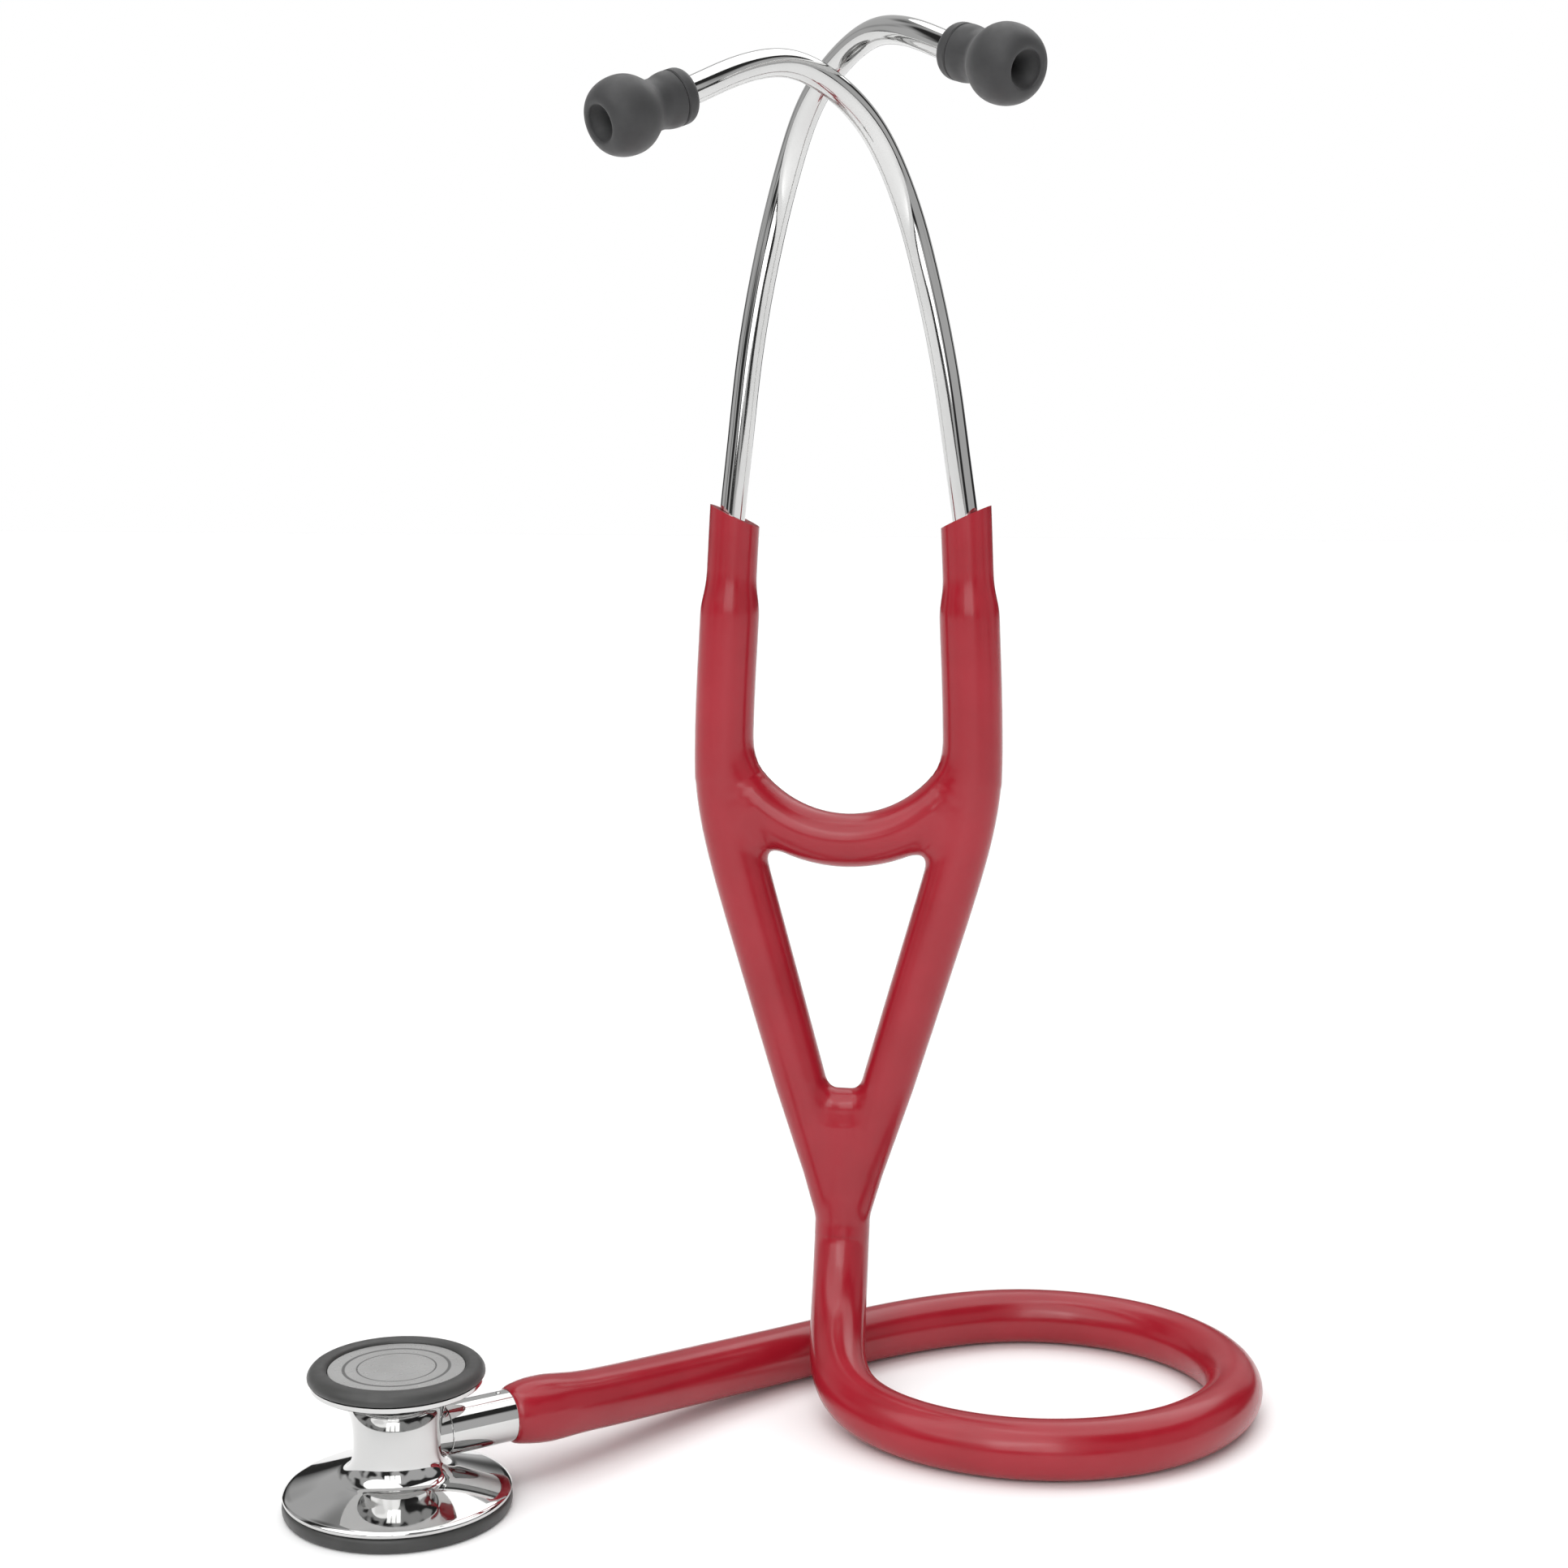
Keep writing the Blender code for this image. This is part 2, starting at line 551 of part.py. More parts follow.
def stem_fittings():
    """Seal ring, retaining ring, detent ball and detent spring."""
    seal_middle = SHANK_RADIUS - SEAL_WIRE_RADIUS
    seal = [
        (seal_middle + SEAL_WIRE_RADIUS * math.cos(turn), SEAL_PLACE + SEAL_WIRE_RADIUS * math.sin(turn))
        for turn in (math.tau * step / 8 for step in range(8))
    ]
    clip_low = CLIP_PLACE - CLIP_THICKNESS / 2
    clip_high = CLIP_PLACE + CLIP_THICKNESS / 2
    clip_inner = SHANK_RADIUS - CLIP_GROOVE_DEPTH + SLIDE_GAP
    clip_outer = SHANK_RADIUS + CLIP_GROOVE_DEPTH
    clip = [(clip_inner, clip_low), (clip_outer, clip_low), (clip_outer, clip_high),
            (clip_inner, clip_high)]
    centre = (DETENT_PLACE, SHANK_RADIUS - DETENT_BALL_RADIUS, STEM_HEIGHT)
    made_ball = ball("detent_ball", centre, DETENT_BALL_RADIUS, 12)
    return [
        along_stem(turned("stem_seal", seal, STEM_SEGMENTS, "seal_rubber")),
        along_stem(turned("stem_retaining_ring", clip, STEM_SEGMENTS, "spring_steel")),
        made_ball,
        detent_spring(),
    ]


def detent_spring():
    """Small coil that pushes the detent ball out."""
    top = SHANK_RADIUS - 2 * DETENT_BALL_RADIUS - GAP - DETENT_WIRE_RADIUS
    bottom = GAP + DETENT_WIRE_RADIUS - 0.4 * SHANK_RADIUS
    steps = 10 * DETENT_TURNS
    stations = []
    for step in range(steps + 1):
        turn = math.tau * DETENT_TURNS * step / steps
        stations.append((
            (
                DETENT_PLACE + DETENT_COIL_RADIUS * math.cos(turn),
                bottom + (top - bottom) * step / steps,
                STEM_HEIGHT + DETENT_COIL_RADIUS * math.sin(turn),
            ),
            DETENT_WIRE_RADIUS,
        ))
    return swept("detent_spring", stations, 6, "spring_steel")


def build_chestpiece():
    """Chestpiece pieces on their hinge and slides."""
    place = Matrix.Translation((CHEST_X, CHEST_Y, 0.0)) @ Matrix.Rotation(STEM_YAW, 4, "Z")
    frame = empty("chestpiece_frame", place)
    carry(frame, [stem(), *stem_fittings()])
    hinge = empty("chestpiece_hinge", Matrix.Translation((0.0, 0.0, STEM_HEIGHT)), frame)
    carry(hinge, [chestpiece_body(), *chestpiece_rims()], frame)
    discs = (
        ("adult_diaphragm", ADULT_LIP_RADIUS - GAP, DISC_RECESS),
        ("pediatric_diaphragm", CHILD_LIP_RADIUS - GAP, CHILD_DISC_TOP - DISC_THICKNESS),
    )
    for name, radius, low in discs:
        slide = empty(name + "_slide", Matrix.Identity(4), hinge)
        carry(slide, [diaphragm(name, radius, low)], frame)


# --------------------------------------------------------------------- headset
def leg_centre(height):
    """Distance of a V leg's centre line from the middle at a height."""
    return LEG_SLOPE * (height - LEG_MEETING_HEIGHT)


def leg_line():
    """Centre line and radius of the right leg, from the stub to its shoulder."""
    shoulder_top = HINGE_HEIGHT - HINGE_SPLIT
    leg_low = HOSE_TOP + 10.0 * MM
    leg_high = SHOULDER_BEND - 17.0 * MM
    start = (leg_centre(leg_high), 0.0, leg_high)
    line = [
        ((1.2 * MM, 0.0, HOSE_TOP + 3.6 * MM), 0.78 * LEG_RADIUS),
        ((2.0 * MM, 0.0, HOSE_TOP + 5.5 * MM), 0.92 * LEG_RADIUS),
        ((leg_centre(leg_low), 0.0, leg_low), LEG_RADIUS),
        (start, LEG_RADIUS),
    ]
    lead = (leg_centre(SHOULDER_BEND), 0.0, SHOULDER_BEND)
    trail = (HINGE_OFFSET, 0.0, SHOULDER_BEND + 8.0 * MM)
    end = (HINGE_OFFSET, 0.0, HINGE_HEIGHT - 7.0 * MM)
    curve = bezier(start, lead, trail, end, 6)
    for index, point in enumerate(curve[1:], 1):
        radius = LEG_RADIUS + (SHOULDER_RADIUS - LEG_RADIUS) * index / 6
        line.append((point, radius))
    line.append(((HINGE_OFFSET, 0.0, shoulder_top), SHOULDER_RADIUS))
    return line


def bridge_point(angle):
    """Point of the bridge centre line at an angle from straight down."""
    return (
        BRIDGE_ARC_RADIUS * math.sin(angle),
        BRIDGE_BOTTOM + BRIDGE_ARC_RADIUS * (1.0 - math.cos(angle)),
    )


def bridge_arc(half_angle, count):
    """Points of the bridge centre line over an arc."""
    return [bridge_point(half_angle * (2 * step / count - 1)) for step in range(count + 1)]


def mirrored(stations):
    """Stations with their sides swapped."""
    return [((-point[0], point[1], point[2]), radius) for point, radius in stations]


def hose_end_direction():
    """Direction of the hose where it enters the stub of the yoke."""
    return Vector((0.0, math.sin(HOSE_LEAN), math.cos(HOSE_LEAN)))


def yoke():
    """Y-shaped moulding: stub, two legs, bridge, balls, channels and spring slot."""
    upward = hose_end_direction()
    bottom = Vector((0.0, 0.0, HOSE_TOP)) + upward * GAP
    stub = [
        (bottom, LEG_RADIUS), (bottom + upward * 4 * MM, LEG_RADIUS),
        (bottom + Vector((0.0, 1.0 * MM, STUB_HEIGHT)), 0.8 * LEG_RADIUS),
    ]
    body = swept("yoke", stub, HEADSET_SEGMENTS, "burgundy_rubber")
    arc = [((x, 0.0, z), BRIDGE_RADIUS) for x, z in bridge_arc(BRIDGE_HALF_ANGLE, 14)]
    right = leg_line()
    join(body, swept("leg", right, HEADSET_SEGMENTS, "burgundy_rubber"))
    join(body, swept("leg", mirrored(right), HEADSET_SEGMENTS, "burgundy_rubber"))
    join(body, swept("bridge", arc, HEADSET_SEGMENTS, "burgundy_rubber"))
    for side in (-1, 1):
        centre = (side * HINGE_OFFSET, 0.0, HINGE_HEIGHT)
        join(body, ball("ball", centre, HINGE_BALL_RADIUS, HEADSET_SEGMENTS))
    slot = strip(
        "slot", bridge_arc(SPRING_SLOT_HALF_ANGLE, 12), SPRING_WIDTH + 2 * GAP,
        SPRING_THICKNESS + 2 * GAP, "burgundy_rubber",
    )
    cut(body, slot)
    lumen = [(point, LUMEN_RADIUS) for point, _ in leg_line()[2:]]
    lumen.append(((HINGE_OFFSET, 0.0, HINGE_HEIGHT + 2 * HINGE_BALL_RADIUS), LUMEN_RADIUS))
    below = bottom - upward * 2 * MM
    lumen.insert(0, ((LUMEN_RADIUS, below.y, below.z), LUMEN_RADIUS))
    cut(body, swept("lumen", lumen, 12, "burgundy_rubber"))
    cut(body, swept("lumen", mirrored(lumen), 12, "burgundy_rubber"))
    return body


def arm_centre(side, height):
    """Centre of an arm at a height."""
    inward = ARM_INWARD_SLOPE * (height - HINGE_HEIGHT)
    return (side * (HINGE_OFFSET - inward), 0.0, height)


def arm(name, side, tube_path):
    """Hollow arm: socket over the ball, spring slot, channel and tube sleeve."""
    low = HINGE_HEIGHT + HINGE_SPLIT
    high = MOUTH_HEIGHT + 4 * MM
    middle = (SLEEVE_START + SLEEVE_FULL) / 2
    half = (ARM_RADIUS + SLEEVE_RADIUS) / 2
    stations = [
        (arm_centre(side, low), ARM_RADIUS),
        (arm_centre(side, SLEEVE_START), ARM_RADIUS),
        (arm_centre(side, SLEEVE_START + 2 * MM), ARM_RADIUS - 0.1 * MM),
        (arm_centre(side, middle), half),
        (arm_centre(side, SLEEVE_FULL - 2 * MM), SLEEVE_RADIUS + 0.1 * MM),
        (arm_centre(side, SLEEVE_FULL), SLEEVE_RADIUS),
        (arm_centre(side, high), SLEEVE_RADIUS),
    ]
    body = swept(name, stations, 20, "burgundy_rubber")
    slant_cut(body, side)
    centre = Vector((side * HINGE_OFFSET, 0.0, HINGE_HEIGHT))
    cut(body, ball("socket", centre, HINGE_BALL_RADIUS + SLIDE_GAP, 20))
    channel_top = tube_path[1]
    channel = [(arm_centre(side, HINGE_HEIGHT), LUMEN_RADIUS), (channel_top, LUMEN_RADIUS)]
    cut(body, swept("channel", channel, 12, "burgundy_rubber"))
    cut(body, swept("sleeve", sleeve_cutter(tube_path), 16, "burgundy_rubber"))
    cut(body, blade("slot", side, GAP, HINGE_HEIGHT + HINGE_SPLIT))
    return body


def sleeve_cutter(tube_path):
    """Bore of a sleeve: the lower end of the ear tube with its clearance."""
    start = tube_path[0] + (tube_path[0] - tube_path[1]).normalized() * GAP
    inside = [point for point in tube_path if point.z < MOUTH_HEIGHT + 12 * MM]
    points = [start] + inside[1:]
    return [(point, EARTUBE_RADIUS + SLIDE_GAP) for point in points]


def slant_cut(body, side):
    """Trim the mouth of a sleeve so that its outer side stands higher."""
    shape = bmesh.new()
    shape.from_mesh(body.data)
    normal = Vector((-side * math.sin(MOUTH_SLANT), 0.0, math.cos(MOUTH_SLANT)))
    bmesh.ops.bisect_plane(
        shape, geom=shape.verts[:] + shape.edges[:] + shape.faces[:], dist=1e-7,
        plane_co=arm_centre(side, MOUTH_HEIGHT), plane_no=normal, clear_outer=True,
    )
    rim = [edge for edge in shape.edges if edge.is_boundary]
    bmesh.ops.contextual_create(shape, geom=rim)
    bmesh.ops.recalc_face_normals(shape, faces=shape.faces)
    shape.to_mesh(body.data)
    shape.free()


def blade(name, side, clearance, low=None):
    """Upright end of the leaf spring inside an arm, or the slot for it."""
    bottom = BLADE_BOTTOM if low is None else low - 2 * MM
    points = []
    for height in (bottom, BLADE_TOP + clearance):
        x = arm_centre(side, height)[0] - side * BLADE_INSET
        points.append((x, height))
    return strip(
        name, points, BLADE_WIDTH + 2 * clearance, SPRING_THICKNESS + 2 * clearance,
        "spring_steel",
    )


def eartube_path(side):
    """Centre line of an ear tube and the direction of its eartip."""
    height, angles = (
        (LEFT_SEAT_HEIGHT, LEFT_SEAT_ANGLES) if side < 0
        else (RIGHT_SEAT_HEIGHT, RIGHT_SEAT_ANGLES)
    )
    tilt = [math.radians(angle) for angle in angles]
    seat = (
        Matrix.Translation((side * EARTUBE_SEAT_OFFSET, 0.0, height))
        @ Matrix.Rotation(tilt[2], 4, "Z") @ Matrix.Rotation(tilt[0], 4, "X")
        @ Matrix.Rotation(tilt[1], 4, "Y")
    )
    line = [Vector((-side * inward, -forward, up)) * MM for inward, forward, up in EARTUBE_LINE]
    level = math.cos(EARTIP_DROP)
    aim = Vector((
        -side * level * math.cos(EARTIP_AZIMUTH), -level * math.sin(EARTIP_AZIMUTH),
        -math.sin(EARTIP_DROP),
    ))
    line.append(line[-1] + aim * (RING_LENGTH + SPIGOT_LENGTH))
    placed = [seat @ point for point in line]
    return smooth_route(placed, EARTUBE_STEP), seat @ line[-2], seat.to_3x3() @ aim


def eartip(side_name, collar, aim):
    """Hard base ring and soft tip at the end of an ear tube."""
    hole = EARTUBE_RADIUS + SLIDE_GAP
    ring = [
        (hole, 0.0), (RING_RADIUS - 1.3 * MM, 0.0), (RING_RADIUS - 0.4 * MM, 0.4 * MM),
        (RING_RADIUS, 1.3 * MM), (RING_RADIUS, RING_LENGTH), (hole, RING_LENGTH),
    ]
    start = RING_LENGTH + GAP
    end = start + TIP_LENGTH
    bulb = start + 11.8 * MM
    pocket = RING_LENGTH + SPIGOT_LENGTH + 2 * GAP
    cuff = bezier(
        (CUFF_RADIUS, start + 0.4 * MM), (CUFF_RADIUS, start + 3.2 * MM),
        (WAIST_RADIUS - 0.2 * MM, start + 2.6 * MM), (WAIST_RADIUS, start + 5.2 * MM), 4,
    )
    swell = bezier(
        (WAIST_RADIUS, start + 5.2 * MM), (WAIST_RADIUS + 0.4 * MM, start + 7.2 * MM),
        (BULB_RADIUS, start + 8.2 * MM), (BULB_RADIUS, bulb), 5,
    )
    crown = bezier(
        (BULB_RADIUS, bulb), (BULB_RADIUS, bulb + 3.2 * MM),
        (TIP_MOUTH_RADIUS + 2.6 * MM, end - 0.3 * MM), (TIP_MOUTH_RADIUS + 0.7 * MM, end), 5,
    )
    funnel = bezier(
        (TIP_MOUTH_RADIUS, end - 0.3 * MM), (TIP_MOUTH_RADIUS - 0.4 * MM, end - 1.6 * MM),
        (TIP_CHANNEL_RADIUS, end - 3.0 * MM), (TIP_CHANNEL_RADIUS, end - 6.5 * MM), 4,
    )
    tip = [
        (hole, start), (CUFF_RADIUS - 0.3 * MM, start), *cuff, *swell[1:], *crown[1:],
        *funnel, (TIP_CHANNEL_RADIUS, pocket), (hole, pocket),
    ]
    pieces = [
        turned(side_name + "_eartip_ring", ring, TIP_SEGMENTS, "grey_rubber"),
        turned(side_name + "_eartip", tip, TIP_SEGMENTS, "grey_rubber"),
    ]
    placing = Matrix.Translation(collar) @ aim.to_track_quat("Z", "Y").to_matrix().to_4x4()
    for piece in pieces:
        piece.data.transform(placing)
    return pieces


def build_headset():
    """Yoke, spring and the two hinged arms with their ear tubes."""
    place = (
        Matrix.Translation((HEADSET_X, HEADSET_Y, 0.0))
        @ Matrix.Rotation(HEADSET_YAW, 4, "Z")
    )
    frame = empty("headset_frame", place)
    bow = strip(
        "spring_bow", bridge_arc(SPRING_HALF_ANGLE, 12), SPRING_WIDTH, SPRING_THICKNESS,
        "spring_steel",
    )
    carry(frame, [yoke(), bow])
    for side, side_name in ((-1, "left"), (1, "right")):
        path, collar, aim = eartube_path(side)
        centre = Matrix.Translation((side * HINGE_OFFSET, 0.0, HINGE_HEIGHT))
        turn = Matrix.Rotation(-HINGE_TURN, 4, "Z")
        hinge = empty(side_name + "_arm_hinge", centre @ turn, frame)
        tube = swept(
            side_name + "_eartube", [(point, EARTUBE_RADIUS) for point in path],
            EARTUBE_SIDES, "polished_steel", EARTUBE_BORE_RADIUS,
        )
        pieces = [
            arm(side_name + "_arm", side, path), tube,
            blade(side_name + "_spring_blade", side, 0.0),
        ]
        carry(hinge, pieces + eartip(side_name, collar, aim), frame)


# ------------------------------------------------------------------------ hose
def build_hose():
    """The hose, one smooth curve from the stem to the yoke."""
    along = Vector((math.cos(STEM_YAW), math.sin(STEM_YAW), 0.0))
    chest = Vector((CHEST_X, CHEST_Y, STEM_HEIGHT))
    start = chest + along * (STEM_END + GAP)
    end = Vector((HEADSET_X, HEADSET_Y, HOSE_TOP))
    upward = Matrix.Rotation(HEADSET_YAW, 3, "Z") @ hose_end_direction()
    route = [start, start + along * HOSE_STRAIGHT]
    route += [Vector(point) * MM for point in HOSE_ROUTE]
    route += [end - upward * HOSE_STRAIGHT, end]
    points = smooth_route(route, HOSE_POINT_STEP)
    curve = bpy.data.curves.new("acoustic_hose", "CURVE")
    curve.dimensions = "3D"
    curve.bevel_depth = HOSE_RADIUS
    curve.bevel_resolution = 3
    curve.use_fill_caps = True
    spline = curve.splines.new("POLY")
    spline.points.add(len(points) - 1)
    for slot, point in zip(spline.points, points):
        slot.co = (*point, 1.0)
    curve.materials.append(material("burgundy_rubber"))
    hose = bpy.data.objects.new("acoustic_hose", curve)
    bpy.context.scene.collection.objects.link(hose)


def main():
    """Clear the scene and build the stethoscope."""
    for old in list(bpy.data.objects):
        bpy.data.objects.remove(old, do_unlink=True)
    build_chestpiece()
    build_headset()
    build_hose()
    bpy.context.view_layer.update()


main()
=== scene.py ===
"""Finished surfaces, materials, light and camera for a two-sided stethoscope.

Everything is in metres, +Z up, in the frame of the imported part.  Each
sub-assembly is a class: the chestpiece with its stem, the headset skin, the
ear tubes with their tips, and the hose.  Sizes are named in millimetres and
turned into metres where a mesh is made.
"""

import json
import logging
import math
from dataclasses import dataclass, field, replace
from enum import Enum
from typing import Iterable, Sequence

import bmesh
import bpy
import numpy as np
from mathutils import Matrix, Vector


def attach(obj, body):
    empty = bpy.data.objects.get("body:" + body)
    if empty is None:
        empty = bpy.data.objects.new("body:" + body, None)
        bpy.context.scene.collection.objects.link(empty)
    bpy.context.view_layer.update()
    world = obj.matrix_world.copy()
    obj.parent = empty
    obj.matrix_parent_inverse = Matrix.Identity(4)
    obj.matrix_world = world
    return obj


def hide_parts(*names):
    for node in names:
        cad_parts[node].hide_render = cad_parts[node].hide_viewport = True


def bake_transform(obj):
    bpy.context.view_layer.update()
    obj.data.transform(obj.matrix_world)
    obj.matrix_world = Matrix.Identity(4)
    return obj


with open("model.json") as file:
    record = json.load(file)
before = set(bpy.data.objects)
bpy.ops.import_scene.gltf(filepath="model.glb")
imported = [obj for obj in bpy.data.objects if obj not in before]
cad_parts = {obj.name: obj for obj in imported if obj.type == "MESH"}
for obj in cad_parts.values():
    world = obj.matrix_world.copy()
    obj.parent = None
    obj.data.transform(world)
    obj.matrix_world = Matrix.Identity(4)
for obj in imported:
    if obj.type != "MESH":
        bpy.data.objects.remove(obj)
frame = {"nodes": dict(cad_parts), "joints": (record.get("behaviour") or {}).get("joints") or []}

log = logging.getLogger("stethoscope")
logging.basicConfig(level=logging.INFO, format="%(name)s: %(message)s")

MM = 0.001
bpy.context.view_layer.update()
PATTERN_RANGE = (0.3, 0.7)      # range that a noise pattern mostly stays in
PRINT_INK = (0.075, 0.075, 0.075, 1.0)
PRINT_COVER = 0.85              # share of the film's colour that the ink hides
Outline = Sequence[tuple[float, float]]
Point = tuple[float, float, float]


class Body(str, Enum):
    """Rigid groups that pieces ride on."""

    BASE = "hose_and_yoke"
    CHEST = "chestpiece"
    ADULT_DISC = "adult_disc"
    CHILD_DISC = "pediatric_disc"
    LEFT = "left_arm_group"
    RIGHT = "right_arm_group"


class Side(Enum):
    """Sides of the headset, as the sign of their X in its own plane."""

    LEFT = -1
    RIGHT = 1

    @property
    def word(self) -> str:
        """Prefix of the names on this side."""
        return self.name.lower()

    @property
    def body(self) -> Body:
        """Rigid group of this side's arm."""
        return Body.LEFT if self is Side.LEFT else Body.RIGHT


# ------------------------------------------------------------------- finishes
class Nodes:
    """Short calls for building a material's node tree."""

    def __init__(self, name: str) -> None:
        """Make an empty material with its shader.

        Args:
            name: Name of the material.
        """
        self.material = bpy.data.materials.new(name)
        self.material.use_nodes = True
        self.tree = self.material.node_tree
        self.shader = self.tree.nodes["Principled BSDF"]

    def add(self, kind: str, **values: object) -> bpy.types.Node:
        """Add a node and set its properties and inputs.

        Args:
            kind: Blender's type name of the node.
            **values: Properties, or inputs with underscores for spaces.

        Returns:
            The new node.
        """
        node = self.tree.nodes.new(kind)
        for key, value in values.items():
            if hasattr(node, key):
                setattr(node, key, value)
            else:
                node.inputs[key.replace("_", " ")].default_value = value
        return node

    def link(self, source: bpy.types.NodeSocket, target: bpy.types.NodeSocket) -> None:
        """Link an output to an input."""
        self.tree.links.new(source, target)

    def pattern(self, scale: float, detail: float = 3.0) -> bpy.types.NodeSocket:
        """Noise on object coordinates.

        Args:
            scale: Features for each metre.
            detail: Octaves of the noise.

        Returns:
            The noise's factor.
        """
        place = self.add("ShaderNodeTexCoord")
        noise = self.add("ShaderNodeTexNoise", Scale=scale, Detail=detail)
        self.link(place.outputs["Object"], noise.inputs["Vector"])
        return noise.outputs["Fac"]

    def remap(
        self, source: bpy.types.NodeSocket, given: tuple[float, float],
        wanted: tuple[float, float],
    ) -> bpy.types.NodeSocket:
        """Map one range of values to another.

        Args:
            source: Values to map.
            given: Range that the values come in.
            wanted: Range that they are mapped to.

        Returns:
            The mapped values.
        """
        node = self.add(
            "ShaderNodeMapRange", From_Min=given[0], From_Max=given[1],
            To_Min=wanted[0], To_Max=wanted[1],
        )
        self.link(source, node.inputs["Value"])
        return node.outputs["Result"]

    def tint(
        self, source: bpy.types.NodeSocket, dark: Point, light: Point
    ) -> bpy.types.NodeSocket:
        """Blend two colours by a factor.

        Args:
            source: The factor.
            dark: Colour at its low end.
            light: Colour at its high end.

        Returns:
            The blended colour.
        """
        node = self.add("ShaderNodeValToRGB")
        node.color_ramp.elements[0].position = 0.35
        node.color_ramp.elements[1].position = 0.65
        node.color_ramp.elements[0].color = (*dark, 1.0)
        node.color_ramp.elements[1].color = (*light, 1.0)
        self.link(source, node.inputs["Fac"])
        return node.outputs["Color"]

    def bump(self, source: bpy.types.NodeSocket, height: float, strength: float) -> None:
        """Raise the surface by a factor.

        Args:
            source: The factor.
            height: Height of the relief, in metres.
            strength: Share of the relief that shows.
        """
        node = self.add("ShaderNodeBump", Strength=strength, Distance=height)
        self.link(source, node.inputs["Height"])
        self.link(node.outputs["Normal"], self.shader.inputs["Normal"])


@dataclass(frozen=True)
class Finish:
    """One surface finish: two close colours, gloss and a fine relief."""

    name: str
    slot: str
    dark: Point
    light: Point
    metallic: float = 0.0
    roughness: tuple[float, float] = (0.3, 0.4)
    mottle: float = 90.0
    grain: float = 2500.0
    relief: float = 0.00002
    relief_strength: float = 0.2
    coat: float = 0.0
    sheen: float = 0.0
    specular: float = 0.5
    rings: tuple[tuple[float, float], ...] = field(default=())
    ring_centre: Point = (0.0, 0.0, 0.0)

    def make(self) -> bpy.types.Material:
        """Build the material.

        Returns:
            The finished material.
        """
        nodes = Nodes(self.name)
        shader = nodes.shader
        colour = nodes.tint(nodes.pattern(self.mottle), self.dark, self.light)
        for radius, width in self.rings:
            colour = self.printed_ring(nodes, colour, radius, width)
        nodes.link(colour, shader.inputs["Base Color"])
        gloss = nodes.remap(nodes.pattern(3.0 * self.mottle, 4.0), PATTERN_RANGE, self.roughness)
        nodes.link(gloss, shader.inputs["Roughness"])
        nodes.bump(nodes.pattern(self.grain, 2.0), self.relief, self.relief_strength)
        shader.inputs["Metallic"].default_value = self.metallic
        shader.inputs["Specular IOR Level"].default_value = self.specular
        shader.inputs["Coat Weight"].default_value = self.coat
        shader.inputs["Coat Roughness"].default_value = 0.09
        shader.inputs["Sheen Weight"].default_value = self.sheen
        shader.inputs["Sheen Roughness"].default_value = 0.5
        return nodes.material

    def printed_ring(
        self, nodes: Nodes, colour: bpy.types.NodeSocket, radius: float, width: float
    ) -> bpy.types.NodeSocket:
        """Print a thin dark circle round the ring centre.

        Args:
            nodes: The material being built.
            colour: Colour under the print.
            radius: Radius of the line, in metres.
            width: Width of the line, in metres.

        Returns:
            The colour with the line on it.
        """
        place = nodes.add("ShaderNodeTexCoord")
        flat = nodes.add("ShaderNodeVectorMath", operation="MULTIPLY_ADD")
        flat.inputs[1].default_value = (1.0, 1.0, 0.0)
        flat.inputs[2].default_value = (-self.ring_centre[0], -self.ring_centre[1], 0.0)
        reach = nodes.add("ShaderNodeVectorMath", operation="LENGTH")
        off = nodes.add("ShaderNodeMath", operation="SUBTRACT")
        off.inputs[1].default_value = radius
        size = nodes.add("ShaderNodeMath", operation="ABSOLUTE")
        mix = nodes.add("ShaderNodeMix", data_type="RGBA")
        mix.inputs[7].default_value = PRINT_INK
        nodes.link(place.outputs["Object"], flat.inputs[0])
        nodes.link(flat.outputs["Vector"], reach.inputs[0])
        nodes.link(reach.outputs["Value"], off.inputs[0])
        nodes.link(off.outputs[0], size.inputs[0])
        nodes.link(
            nodes.remap(size.outputs[0], (0.35 * width, 0.65 * width), (PRINT_COVER, 0.0)),
            mix.inputs[0],
        )
        nodes.link(colour, mix.inputs[6])
        return mix.outputs[2]


# --------------------------------------------------------------- mesh helpers
def bezier(start: Point, lead: Point, trail: Point, end: Point, count: int) -> list:
    """Points of a cubic curve.

    Args:
        start: First point, in any dimension.
        lead: Handle of the first point.
        trail: Handle of the last point.
        end: Last point.
        count: Number of steps.

    Returns:
        The points, both ends included.
    """
    points = []
    for step in range(count + 1):
        t = step / count
        weights = ((1 - t) ** 3, 3 * t * (1 - t) ** 2, 3 * t * t * (1 - t), t ** 3)
        corners = (start, lead, trail, end)
        points.append(tuple(
            sum(weight * corner[axis] for weight, corner in zip(weights, corners))
            for axis in range(len(start))
        ))
    return points


def knot_blend(first: Vector, second: Vector, start: float, end: float, t: float) -> Vector:
    """Straight blend of two points over a knot span."""
    return first + (second - first) * ((t - start) / (end - start))


